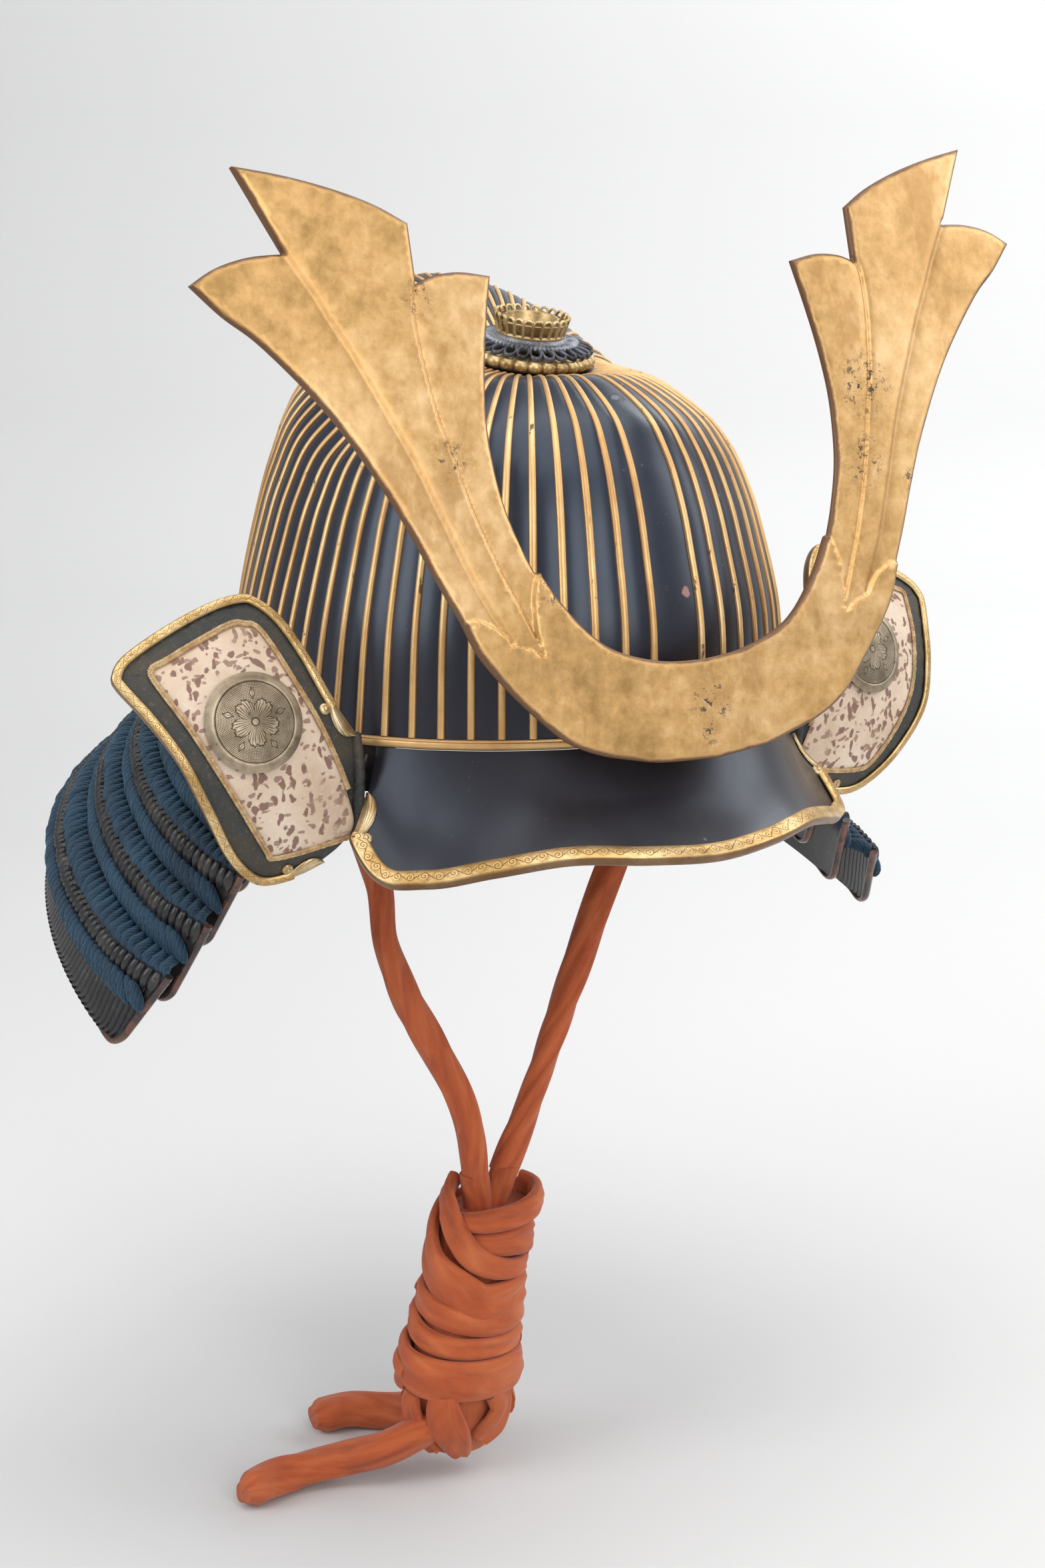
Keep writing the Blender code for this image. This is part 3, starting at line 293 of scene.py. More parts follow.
def evenPath(points, spacing, steps=16):
    return evenLine(smoothRows(points, steps), spacing)


def framesAlong(path):
    # side and up directions carried along a path without twisting
    forward = unit(np.gradient(path, axis=0))
    side = np.array([0.0, 1.0, 0.0])
    sides = []
    for direction in forward:
        side = side - direction * side.dot(direction)
        side = side / np.linalg.norm(side)
        sides.append(side)
    sides = np.array(sides)
    return sides, np.cross(forward, sides)


def ease(value, low, high):
    t = np.clip((np.asarray(value, float) - low) / (high - low), 0, 1)
    return t * t * (3 - 2 * t)


def wander(seed, count=6):
    # a smooth random function of one number
    rng = np.random.default_rng(seed)
    rates = rng.uniform(0.5, 3.0, count)
    phases = rng.uniform(0, tau, count)
    return lambda x: sum(np.sin(np.asarray(x) * r + p) for r, p in zip(rates, phases)) / count


def aimed(name, data, place, forward):
    item = bpy.data.objects.new(name, data)
    item.location = place
    item.rotation_mode = "QUATERNION"
    item.rotation_quaternion = Vector(forward).to_track_quat("-Z", "Y")
    bpy.context.scene.collection.objects.link(item)
    return item


def makeStage():
    scene = bpy.context.scene
    scene.view_settings.view_transform = "Standard"
    view = bpy.data.cameras.new("photoCamera")
    view.lens = camera["lens"]
    view.sensor_width = camera["sensor"]
    view.clip_start = camera["nearest"]
    scene.camera = aimed("photoCamera", view, camera["place"], camera["forward"])

    floor = Finish("floorPaper", studio["floorColour"], 0.85)
    turn = Matrix.Rotation(-math.atan2(camera["forward"][0], camera["forward"][1]), 3, "Z")
    half, drop = studio["floorHalfWidth"], studio["floorDrop"]
    rows = [[tuple(turn @ Vector((x, away, up - drop))) for x in (-half, half)] for away, up in studio["floorProfile"]]
    mesh = buildMesh("studioFloor", [(rows, {})])
    mesh.materials.append(floor.done())
    mesh.shade_smooth()
    sweep = bpy.data.objects.new("studioFloor", mesh)
    scene.collection.objects.link(sweep)

    world = bpy.data.worlds.new("softRoom")
    world.use_nodes = True
    sky = world.node_tree.nodes["Background"]
    sky.inputs[0].default_value = (*studio["worldColour"], 1.0)
    sky.inputs[1].default_value = studio["worldStrength"]
    scene.world = world

    for name, place, aim, size, watts, colour in studio["lamps"]:
        lamp = bpy.data.lights.new(name, "AREA")
        lamp.shape = "SQUARE"
        lamp.size = size
        lamp.energy = watts
        lamp.color = colour
        aimed(name, lamp, place, Vector(aim) - Vector(place))
    print("stage ready")


makeStage()


chinCord = {
    "diameter": 0.014,
    "tailDiameter": 0.0155,
    "route": [
        (-0.0165, 0.0, -0.2288), (-0.0205, 0.001, -0.1975), (-0.0345, 0.002, -0.165),
        (-0.0505, 0.001, -0.136),
        (-0.061, 0.001, -0.108), (-0.064, 0.002, -0.08), (-0.074, 0.003, -0.053), (-0.089, 0.006, -0.029),
        (-0.1008, 0.014, -0.015), (-0.0998, 0.034, -0.013), (-0.0875, 0.064, -0.0125),
        (-0.064, 0.091, -0.0125),
        (-0.033, 0.108, -0.0125), (0.0, 0.113, -0.0125), (0.033, 0.108, -0.0125), (0.064, 0.091, -0.0125),
        (0.0875, 0.064, -0.0125), (0.0998, 0.034, -0.013), (0.1008, 0.014, -0.015), (0.092, 0.006, -0.03),
        (0.078, 0.003, -0.056), (0.06, 0.001, -0.088), (0.0445, 0.0, -0.1205), (0.0295, 0.0, -0.1565),
        (0.015, 0.0, -0.192), (-0.001, 0.0, -0.2275),
    ],
    "frontTail": [
        (-0.03, 0.0, -0.335), (-0.041, -0.004, -0.34), (-0.0527, -0.003, -0.344), (-0.066, 0.001, -0.349),
        (-0.078, 0.014, -0.3565), (-0.093, 0.0205, -0.3596), (-0.11, 0.021, -0.3596),
        (-0.13, 0.0165, -0.3596),
    ],
    "rearTail": [
        (-0.021, -0.009, -0.33), (-0.023, 0.002, -0.338), (-0.026, 0.0152, -0.346), (-0.03, 0.035, -0.354),
        (-0.038, 0.052, -0.3596), (-0.052, 0.0615, -0.3596), (-0.07, 0.0625, -0.3596),
    ],
    "flatness": 0.8,
    "tailCloth": (1.16, 1.02),  # width and thickness of a tail's cloth over its diameter
}
hank = {
    "top": 0.2306,
    "height": 0.129,
    "width": 0.052,
    "facing": -122.7,
    "cloth": 0.0062,
    "bands": [  # turn, down, width and lift along each run of cloth, from the innermost out
        [
            (-150, 0.639, 0.0127, 0.001), (-115, 0.655, 0.0169, 0.0026), (-88, 0.668, 0.0174, 0.003),
            (-62, 0.672, 0.0137, 0.0008),
        ],
        [
            (-120, 0.353, 0.0116, 0.0), (-90, 0.387, 0.0122, 0.0002), (-50, 0.408, 0.0127, 0.0002),
            (0, 0.441, 0.0132, 0.0002),
            (40, 0.458, 0.0153, 0.0004), (75, 0.45, 0.0164, 0.0012), (95, 0.445, 0.0159, 0.0014),
            (130, 0.433, 0.0148, 0.0006),
        ],
        [
            (-14, 0.16, 0.0074, -0.003), (8, 0.168, 0.0106, 0.0), (35, 0.175, 0.0127, 0.0008),
            (70, 0.185, 0.0159, 0.0012),
            (95, 0.193, 0.0159, 0.0012), (130, 0.197, 0.0148, 0.0006),
        ],
        [
            (-130, 0.437, 0.0106, 0.0004), (-90, 0.471, 0.0116, 0.001), (-45, 0.508, 0.0116, 0.001),
            (0, 0.538, 0.0106, 0.0008),
            (45, 0.553, 0.01, 0.0007), (80, 0.556, 0.01, 0.0007), (105, 0.556, 0.0095, 0.0006),
            (130, 0.555, 0.009, 0.0003),
        ],
        [
            (-135, 0.084, 0.0159, 0.0006), (-92, 0.168, 0.019, 0.0014), (-55, 0.256, 0.0211, 0.0018),
            (-15, 0.324, 0.0211, 0.0018),
            (16, 0.378, 0.0196, 0.0018), (45, 0.376, 0.0148, 0.0014), (70, 0.361, 0.0116, 0.001),
            (98, 0.353, 0.0106, 0.0007),
            (130, 0.34, 0.01, 0.0003),
        ],
        [
            (-135, 0.588, 0.0159, 0.0008), (-92, 0.609, 0.0201, 0.0018), (-45, 0.634, 0.0217, 0.0022),
            (0, 0.649, 0.0201, 0.0024),
            (45, 0.662, 0.0185, 0.0024), (80, 0.668, 0.0174, 0.0022), (105, 0.67, 0.0159, 0.0018),
            (135, 0.666, 0.0148, 0.0006),
        ],
        [
            (-100, -0.008, 0.0095, 0.0004), (-75, 0.017, 0.0111, 0.0014), (-46, 0.055, 0.0122, 0.0022),
            (-22, 0.139, 0.0132, 0.0028),
            (0, 0.21, 0.0127, 0.0028), (27, 0.256, 0.0111, 0.0026), (55, 0.282, 0.0095, 0.0018),
            (90, 0.294, 0.0079, 0.001),
            (125, 0.296, 0.0074, 0.0003),
        ],
        [
            (-32, 0.094, 0.0074, -0.003), (-10, 0.088, 0.0095, 0.0012), (30, 0.08, 0.0116, 0.0024),
            (60, 0.07, 0.0125, 0.0028),
            (88, 0.061, 0.0127, 0.0026), (112, 0.052, 0.0122, 0.002), (140, 0.046, 0.0116, 0.0008),
        ],
        [
            (-50, 0.714, 0.0085, 0.0004), (-54, 0.773, 0.0122, 0.0018), (-52, 0.84, 0.0132, 0.002),
            (-46, 0.899, 0.0122, 0.0016),
            (-36, 0.95, 0.009, 0.0004),
        ],
        [
            (48, 0.718, 0.0127, 0.0006), (56, 0.782, 0.0159, 0.002), (50, 0.849, 0.0153, 0.002),
            (34, 0.908, 0.0106, 0.0008),
        ],
        [
            (-10, 0.706, 0.0127, 0.0008), (-8, 0.782, 0.0174, 0.0028), (-2, 0.866, 0.0174, 0.0028),
            (4, 0.933, 0.0127, 0.0016),
            (8, 0.962, 0.0095, 0.0006),
        ],
    ],
    "backBands": [  # down and width
        (0.1, 0.0122), (0.235, 0.015), (0.385, 0.0165), (0.535, 0.016), (0.675, 0.0155), (0.8, 0.013),
    ],
    "backLift": (0.0006, 0.0012),
    "backLean": 0.035,
    "deepShare": 0.8,
    "coreDeepShare": 0.76,
    "coreEnds": (0.02, 0.92),
    "coreInset": 0.75,
    "stub": (-0.004, 0.016),
    "stubReach": (0.5, 0.46),
    "rows": [  # share of height, middle and half width as shares of width
        (1.0, -0.16, 0.4), (0.93, -0.19, 0.49), (0.7, -0.33, 0.48), (0.45, -0.45, 0.54),
        (0.3, -0.5, 0.57), (0.14, -0.49, 0.5), (0.0, -0.48, 0.33),
    ],
}


def clothFinish():
    cloth = Finish("orangeCloth", (0.62, 0.13, 0.03), 0.85, fixed={"Sheen Weight": 0.15, "Sheen Roughness": 0.5})
    along, around, _ = cloth.split(cloth.flow())
    twisted = cloth.join(along * 30 + around * 40, around * 190 - along * 24)
    folds = cloth.noise(1.0, 3.0, 0.55, at=twisted, warp=0.6)
    fade = cloth.noise(24.0, 3.0, 0.6)
    thread = ((along * tau * 1500).wave() + (around * tau * 1300).wave()) * 0.5
    # the tones follow the fold noise that also dents the cloth: painted shade in the fold creases and painted
    # highlight on the fold ridges
    tones = [(0.28, (0.3, 0.048, 0.01)), (0.5, (0.42, 0.08, 0.018)), (0.75, (0.52, 0.125, 0.034))]
    base = cloth.ramp(folds, tones)
    worn = cloth.mix(fade.rise(0.5, 0.75) * 0.4, base, (0.54, 0.175, 0.07))
    cloth.put({"Base Color": worn, "Roughness": fade * 0.15 + 0.76})
    cloth.bump(folds * 0.7 + thread * 0.035 + fade * 0.1, 0.0011, 0.9)
    return cloth.done()


def clothTube(name, path, width, thickness, seed, material, twist=18.0, taperEnds=False):
    # a soft cloth tube with long folds and one crease that run round it slowly
    far = lengthAlong(path)
    count = 28
    turn = circle(count)
    drift, ripple = wander(seed), wander(seed + 1)
    rings = []
    for point, side, up, s in zip(path, *framesAlong(path), far):
        lean = twist * s + 0.5 * drift(s * 30)
        flat = 1.0 + 0.1 * ripple(s * 45)
        folds = 1 + 0.05 * np.cos(3 * turn + 60 * s) + 0.045 * np.cos(5 * turn - 95 * s + 2 * drift(s * 20))
        crease = np.angle(np.exp(1j * (turn - lean * 0.7)))
        folds = folds - 0.09 * np.exp(-((crease / 0.22) ** 2))
        shrink = 0.62 + 0.38 * float(ease(far[-1] - s, 0.0, 0.006)) if taperEnds else 1.0
        across = np.cos(turn) * width / 2 * folds * shrink
        high = np.sin(turn) * thickness / 2 * folds * flat * shrink
        a = across * np.cos(lean) - high * np.sin(lean)
        b = across * np.sin(lean) + high * np.cos(lean)
        rings.append(point + np.outer(a, side) + np.outer(b, up))
    around = np.linspace(0, math.pi * (width + thickness) / 2, count + 1)
    return pieceOf(name, [tube(rings, far, around)], material)


def hankRow(share):
    # middle and half width of the hank at a share of its height
    shares, middles, halves = np.array(hank["rows"])[::-1].T
    return np.interp(share, shares, middles) * hank["width"], np.interp(share, shares, halves) * hank["width"]


def hankPoint(turn, down, lift):
    # turn in degrees from the middle of the side seen, positive to the right; down as a share of the height
    middle, half = hankRow(1 - np.clip(down, 0.0, 1.0))
    angle = np.radians(turn + hank["facing"])
    reach = half - hank["cloth"] / 2 + lift
    z = -hank["top"] - hank["height"] * down
    return np.stack([middle + reach * np.cos(angle), reach * hank["deepShare"] * np.sin(angle), z], -1)


def hankBand(rows, seed):
    # one run of folded cloth over the hank: rows of turn, down, width and lift
    rows = smoothRows(rows, 10)
    path = hankPoint(rows[:, 0], rows[:, 1], rows[:, 3])
    outward = unit(hankPoint(rows[:, 0], rows[:, 1], rows[:, 3] + 0.004) - path)
    forward = unit(np.gradient(path, axis=0))
    far = lengthAlong(path)
    drift, ripple = wander(seed), wander(seed + 50)
    count = 30
    section = circle(count)
    x, y = np.cos(section), np.sin(section)
    outer = (y > 0.1) * np.clip(1.4 * (1 - np.abs(x)), 0, 1)
    rings = []
    for point, ahead, out, s, width in zip(path, forward, outward, far, rows[:, 2]):
        out = unit(out - ahead * out.dot(ahead))
        up = np.cross(out, ahead)
        across = np.sign(x) * np.abs(x) ** 0.75 * width * (1 + 0.04 * drift(s * 120)) / 2
        high = np.sign(y) * np.abs(y) ** 0.8 * hank["cloth"] / 2
        crease = np.exp(-(((x - 0.5 * ripple(s * 60)) / 0.13) ** 2))
        high = high - outer * 0.0011 * crease + outer * 0.0005 * np.cos(5 * x + s * 130)
        rings.append(point + np.outer(across, up) + np.outer(high, out))
    return tube(rings, far, np.linspace(0, 2 * float(rows[:, 2].mean()), count + 1))


def hankParts(path, wide):
    # wraps over the back and the front, a core under them, and stubs of the loop's runs that end between the wraps
    lift, swell = hank["backLift"]
    bands = []
    for number, (down, width) in enumerate(hank["backBands"]):
        lean = hank["backLean"] * (-1) ** number
        rows = []
        for turn in range(95, 270, 17):
            rise = math.sin(math.pi * (turn - 90) / 180)
            rows.append((turn, down + lean * (turn - 180) / 80, width, lift + swell * rise))
        bands.append(rows)
    parts = [hankBand(rows, 11 + number) for number, rows in enumerate(bands + hank["bands"])]

    turn = circle(24)
    core = []
    for share in np.linspace(*hank["coreEnds"], 30):
        middle, half = hankRow(share)
        z = -hank["top"] - hank["height"] * (1 - share)
        reach = half - hank["cloth"] * hank["coreInset"]
        deep = reach * hank["coreDeepShare"] * np.sin(turn)
        core.append(np.stack([middle + reach * np.cos(turn), deep, np.full(24, z)], 1))
    parts.append(tube(core, np.linspace(0, 0.13, 30), np.linspace(0, 0.1, 25)))
    across, deep = np.array(hank["stubReach"]) * wide
    ring = np.stack([np.cos(turn) * across, np.sin(turn) * deep, 0 * turn], 1)
    for end, toward in ((path[0], path[1]), (path[-1], path[-2])):
        run = end + unit(end - toward) * np.linspace(*hank["stub"], 12)[:, None]
        parts.append(tube(run[:, None] + ring, np.linspace(0.78, 0.8, 12), np.linspace(0, 0.04, 25)))
    return parts


def makeCord():
    cloth = clothFinish()
    path = evenPath(chinCord["route"], 0.0025)
    wide = chinCord["diameter"]
    loop = clothTube("chin_loop_cloth", path, wide, wide * chinCord["flatness"], 3, cloth)
    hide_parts("chin_cord_loop")

    bundle = pieceOf("chin_hank_wraps", hankParts(path, wide), cloth)
    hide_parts("chin_cord_hank")
    tail = chinCord["tailDiameter"]
    width, thickness = np.array(chinCord["tailCloth"]) * tail
    for word, seed in (("front", 7), ("rear", 9)):
        route = chinCord[f"{word}Tail"]
        path = evenPath(route, 0.002)
        piece = clothTube(f"chin_tail_{word}", path, width, thickness, seed, cloth, 9.0, True)
        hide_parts(f"chin_cord_tail_{word}")
    print("cord ready")


makeCord()


bowl = {
    "width": 0.2334,
    "length": 0.2564,
    "height": 0.143,
    "wall": 0.0025,
    "arch": 0.0035,
    "ribs": 62,
    "ribWidth": 0.0034,
    "ribHeight": 0.0015,
    "frontPitches": 1.9,
    "crownSetback": 0.018,
    "crownTilt": math.radians(12.3),
    "crownSeat": 0.0285,
    "crownHole": 0.0135,
    "sideEase": 1.25,
    "platesBulge": 0.0007,
    "chips": [  # place and size: a crack near the crown, then a chip on the wide front plate
        ((-0.0012, -0.0847, 0.1305), 0.0026),
        ((0.0049, -0.125, 0.057), 0.0022),
    ],
    "band": [  # section of the moulding: out from the mouth and up
        (-0.0023, -0.0003), (0.0012, -0.0003), (0.0022, -0.001), (0.0026, -0.0022), (0.0022, -0.0035),
        (0.0012, -0.0044), (-0.0023, -0.0044),
    ],
    "rows": [  # front reach and rise, side reach and rise, back reach and rise
        (1.0, 0.0, 1.0, 0.0, 1.0, 0.0),
        (0.996, 0.28, 0.934, 0.28, 0.994, 0.31),
        (0.932, 0.5, 0.856, 0.52, 0.935, 0.62),
        (0.875, 0.64, 0.811, 0.625, 0.881, 0.796),
        (0.797, 0.765, 0.751, 0.725, 0.816, 0.962),
        (0.682, 0.872, 0.653, 0.81, 0.705, 1.095),
        (0.453, 0.962, 0.493, 0.935, 0.53, 1.24),
    ],
}
crownFoot = Matrix.Translation((0, -bowl["crownSetback"], bowl["height"]))
crownPlace = crownFoot @ Matrix.Rotation(bowl["crownTilt"], 4, "X")


def onCrown(points):
    # from places round the crown's own axis to the helmet's
    place = np.array(crownPlace)
    return points @ place[:3, :3].T + place[:3, 3]


def mouthPoint(angle, outward=0.0):
    # turned from the middle of the front
    angle = np.asarray(angle, float)
    arch = bowl["arch"] * np.maximum(0, np.cos(angle)) ** 2
    across = (bowl["width"] / 2 + outward) * np.sin(angle)
    deep = -(bowl["length"] / 2 + outward) * np.cos(angle)
    return np.stack([across, deep, arch], -1)


def ribCentres():
    # how far round the mouth each rib stands, and a table of distances for its turns
    turns = np.linspace(0, tau, 2881)
    far = lengthAlong(mouthPoint(turns))
    pitch = far[-1] / (bowl["ribs"] - 1 + bowl["frontPitches"])
    centres = pitch * (bowl["frontPitches"] / 2 + np.arange(bowl["ribs"]))
    return turns, far, centres


def bowlSkin(angles, steps=7):
    # (angles, rows, 3): smooth curves from the mouth to the hole at the crown
    angles = np.asarray(angles, float)
    foot = mouthPoint(angles)
    axis = np.array([0, -bowl["crownSetback"], 0])
    way = foot * [1, 1, 0] - axis
    front = np.maximum(0, np.cos(angles)) ** bowl["sideEase"]
    back = np.maximum(0, -np.cos(angles)) ** bowl["sideEase"]
    side = 1 - front - back
    stations = []
    for row in bowl["rows"]:
        reach = front * row[0] + side * row[2] + back * row[4]
        rise = front * row[1] + side * row[3] + back * row[5]
        flat = axis + way * reach[:, None]
        flat[:, 2] = foot[:, 2] * (1 - np.minimum(1, rise)) + bowl["height"] * rise
        stations.append(flat)
    for radius in (bowl["crownSeat"], bowl["crownHole"]):
        stations.append(onCrown(unit(way) * radius))
    return smoothRows(np.stack(stations), steps).transpose(1, 0, 2)


def skinNormals(skin):
    around = np.roll(skin, -1, 0) - np.roll(skin, 1, 0)
    up = np.gradient(skin, axis=1)
    return unit(np.cross(around, up))


def lacquerFinish():
    shine = {"Coat Weight": 0.14, "Coat Roughness": 0.24, "IOR": 1.5, "Specular Tint": (0.66, 0.8, 1.0)}
    lacquer = Finish("blackLacquer", (0.008, 0.01, 0.019), 0.34, fixed=shine)
    cloud = lacquer.noise(9.0, 4.0, 0.6)
    speck = lacquer.noise(420.0, 2.0, 0.5)
    scuff = lacquer.noise(1.0, 4.0, 0.65, at=lacquer.stretched(lacquer.place(), (160.0, 160.0, 26.0)))
    dust = speck.rise(0.7, 0.78) * cloud.rise(0.42, 0.62)
    tone = lacquer.mix(cloud.rise(0.35, 0.7), (0.008, 0.01, 0.019), (0.02, 0.02, 0.028))
    chipped = lacquer.noise(70.0, 3.0, 0.6).rise(0.745, 0.775)
    tone = lacquer.mix(dust * 0.5, tone, (0.22, 0.2, 0.18))
    tone = lacquer.mix(chipped * 0.8, tone, (0.2, 0.12, 0.09))
    low = lacquer.split(lacquer.place())[2].rise(0.075, 0.02)
    tone = lacquer.mix(low * 0.6, tone, (0.016, 0.009, 0.007))
    jag = lacquer.noise(240.0, 4.0, 0.7)
    lost = []
    for middle, radius in bowl["chips"]:
        lost.append(lacquer.awayFrom(middle) + (jag - 0.5) * radius * 2.4 - radius)
    crack = abs(lost[0]).rise(0.0008, 0.0003)
    tone = lacquer.mix(lost[0].rise(0.0, -0.0006) * 0.8, tone, (0.1, 0.12, 0.15))
    tone = lacquer.mix(crack, tone, (0.001, 0.001, 0.001))
    tone = lacquer.mix(lost[1].rise(0.0002, -0.0004), tone, (0.3, 0.15, 0.13))
    lacquer.put({"Base Color": tone, "Roughness": cloud * 0.16 + scuff * 0.14 + dust * 0.2 + 0.2})
    lacquer.bump(cloud * 0.5 + scuff * 0.12 - chipped * 0.5 - crack * 1.5, 0.0008, 0.35)
    return lacquer.done()


def ribFinish():
    gilt = Finish("giltRib", (0.62, 0.4, 0.18), 0.42, 0.45)
    patch = gilt.noise(22.0, 4.0, 0.6)
    fine = gilt.noise(260.0, 3.0, 0.6)
    streak = gilt.noise(1.0, 3.0, 0.6, at=gilt.stretched(gilt.place(), (330.0, 330.0, 40.0)))
    across = gilt.split(gilt.flow())[1]
    # painted shade: dark lines along the rib's lower flanks where it meets the plate; colour only, nothing is cut
    # there
    groove = abs(abs(across) - 0.56).rise(0.14, 0.05)
    tones = [(0.32, (0.5, 0.28, 0.105)), (0.5, (0.66, 0.41, 0.17)), (0.7, (0.78, 0.54, 0.27))]
    tone = gilt.ramp(patch, tones)
    tone = gilt.mix(abs(across).rise(0.66, 0.8) * 0.4, tone, (0.52, 0.34, 0.2))
    tone = gilt.mix(groove * 0.75, tone, (0.17, 0.065, 0.025))
    worn = (streak * 0.6 + fine * 0.4).rise(0.615, 0.66) * patch.rise(0.35, 0.6)
    tone = gilt.mix(worn * 0.9, tone, (0.035, 0.022, 0.018))
    gilt.put({"Base Color": tone, "Roughness": fine * 0.25 + worn * 0.15 + 0.28, "Metallic": 0.55 - worn * 0.5})
    gilt.bump(fine * 0.4 + streak * 0.4 - worn * 0.7, 0.0004, 0.6)
    return gilt.done()


def bowlPlates():
    # the shell between the ribs, each plate swelling a little, and its inner skin
    turns, far, centres = ribCentres()
    perPlate = 5
    ends = np.append(centres, centres[0] + far[-1])
    at = []
    bulge = []
    for first, last, count in zip(ends, ends[1:], [perPlate] * (bowl["ribs"] - 1) + [2 * perPlate]):
        share = np.arange(count) / count
        at.append(first + (last - first) * share)
        bulge.append(1 - (2 * share - 1) ** 2)
    angles = np.interp(np.concatenate(at) % far[-1], far, turns)
    skin = bowlSkin(angles)
    normals = skinNormals(skin)
    rows = skin.shape[1]
    fade = 1 - ease(np.arange(rows), rows * 0.72, rows * 0.88)
    swell = np.concatenate(bulge)[:, None, None] * bowl["platesBulge"] * fade[None, :, None]
    innerRows = list(range(rows - 1, -1, -3))
    inner = skin[:, innerRows] - normals[:, innerRows] * bowl["wall"]
    inner[:, -1] = mouthPoint(angles, -bowl["wall"])
    return [(np.concatenate([skin + normals * swell, inner], 1), {"closeAlong": True, "closeAcross": True})]


def bowlRibs():
    # half-round ribs that narrow toward the crown and stop at its edge
    turns, far, centres = ribCentres()
    section = np.linspace(math.radians(-25), math.radians(205), 8)
    acrosses = np.append(np.linspace(-1, 1, len(section)), -1.0)
    angles = np.interp(centres, far, turns)
    parts = []
    for line, beside in zip(bowlSkin(angles, 6), bowlSkin(angles + 0.004, 6)):
        normal = unit(np.cross(beside - line, np.gradient(line, axis=0)))[:-6]
        path = line[:-6]
        side = np.cross(unit(np.gradient(path, axis=0)), normal)
        reach = np.linalg.norm((path + [0, bowl["crownSetback"], 0])[:, :2], axis=1)
        narrow = np.clip(reach / reach[0], 0.0, 1.0)
        half = bowl["ribWidth"] / 2 * (0.42 + 0.58 * np.minimum(1, narrow * 1.15))
        lower = 1 - 0.5 * ease(np.linspace(0, 1, len(path)), 0.93, 1.0)
        high = bowl["ribHeight"] * (0.6 + 0.4 * narrow) * lower
        ring = path[:, None] + side[:, None] * (np.cos(section)[None, :, None] * half[:, None, None])
        ring = ring + normal[:, None] * (np.sin(section)[None, :, None] * high[:, None, None])
        parts.append(tube(ring, lengthAlong(path), acrosses))
    return parts


def mouthBand(corners, count=240):
    angles = circle(count)
    ring = np.stack([mouthPoint(angles, outward) + [0, 0, up] for outward, up in corners], 1)
    flow = flowOver(np.linspace(0, 0.77, count + 1), np.linspace(-1.4, 1.4, len(corners) + 1))
    return [(ring, {"closeAlong": True, "closeAcross": True, "flow": flow})]


def makeBowl():
    lacquer = lacquerFinish()
    shell = pieceOf("bowl_plates", bowlPlates(), lacquer, 50)
    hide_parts("bowl_shell")
    gilt = ribFinish()
    ribs = pieceOf("bowl_ribs", bowlRibs(), gilt)
    moulding = pieceOf("waist_moulding", mouthBand(bowl["band"]), gilt, 50)
    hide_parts("waist_band")
    print("bowl ready")
    return lacquer


lacquerMaterial = makeBowl()


crown = {
    "petals": 28,
    "petalReach": 0.0285,
    "petalHeight": 0.0064,
    "lifts": (0.0009, 0.0021, 0.0024),  # of the fan over the petals, the washer over the fan, the collar over that
    "loops": 28,
    "loopOuter": 0.0268,
    "loopInner": 0.0192,
    "loopHalfWide": 0.00225,
    "loopWire": (0.00072, 0.001),
    "teeth": 64,
    "collarArches": 24,
    "collarTop": 0.0157,
    "collarFoot": 0.0139,
    "collarRise": 0.0082,
    "collarWire": (0.00055, 0.0008),
    "tube": 0.0112,
    "hole": 0.0118,
}


def patinaFinish(name, dark, light, metal, roughness, scale, tarnish):
    patina = Finish(name, dark, roughness, metal)
    patch = patina.noise(scale, 4.0, 0.6)
    fine = patina.noise(scale * 9, 3.0, 0.6)
    tone = patina.mix(patch.rise(0.35, 0.62), dark, light)
    tone = patina.mix(fine.rise(0.58, 0.68) * patch.rise(0.62, 0.4) * 0.7, tone, tarnish)
    patina.put({"Base Color": tone, "Roughness": fine * 0.2 + roughness - 0.1})
    patina.bump(fine * 0.5 + patch * 0.5, 0.0004, 0.5)
    return patina.done()


def turnedPiece(name, section, count, material, sharp, node):
    # a turned section round the crown's axis; its radii and heights are numbers or functions of the angle
    angles = circle(count)
    ring = []
    for radius, height in section:
        r, h = [value(angles) if callable(value) else np.full(count, value) for value in (radius, height)]
        ring.append(np.stack([r * np.sin(angles), -r * np.cos(angles), h], 1))
    grid = onCrown(np.array(ring).transpose(1, 0, 2))
    piece = pieceOf(name, [(grid, {"closeAlong": True, "closeAcross": True})], material, sharp)
    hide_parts(node)


def petalSection():
    petals, high, reach, hole = crown["petals"], crown["petalHeight"], crown["petalReach"], crown["hole"]

    def lobed(share, depth):
        radius = reach * share
        return lambda a: radius * (1 - depth) + radius * depth * np.abs(np.cos(a * petals / 2)) ** 0.5

    def raised(height, depth):
        return lambda a: height - depth * (1 - np.abs(np.cos(a * petals / 2)) ** 0.6)

    return [
        (hole, high),
        (0.019, high),
        (lobed(0.84, 0.03), raised(high, 0.0007)),
        (lobed(0.94, 0.05), raised(high * 0.93, 0.0013)),
        (lobed(1.0, 0.06), raised(high * 0.74, 0.0009)),
        (lobed(1.012, 0.065), high * 0.5),
        (lobed(0.985, 0.065), high * 0.26),
        (lobed(0.93, 0.05), 0.0005),
        (0.015, 0.0005),
        (hole, 0.0005),
    ]


def washerSection(low):
    teeth = crown["teeth"]

    def toothed(radius, depth):
        return lambda a: radius + depth * np.abs(np.sin(a * teeth / 2)) ** 0.7

    def waved(height):
        return lambda a: low + height - 0.0004 * np.cos(a * teeth)

    return [
        (crown["hole"], low + 0.0022),
        (0.0145, low + 0.0022),
        (0.0152, low + 0.002),
        (0.0158, low + 0.001),
        (toothed(0.018, 0.0005), waved(0.001)),
        (toothed(0.0196, 0.0014), waved(0.0004)),
        (toothed(0.0196, 0.0014), low - 0.0004),
        (crown["hole"], low - 0.0004),
    ]


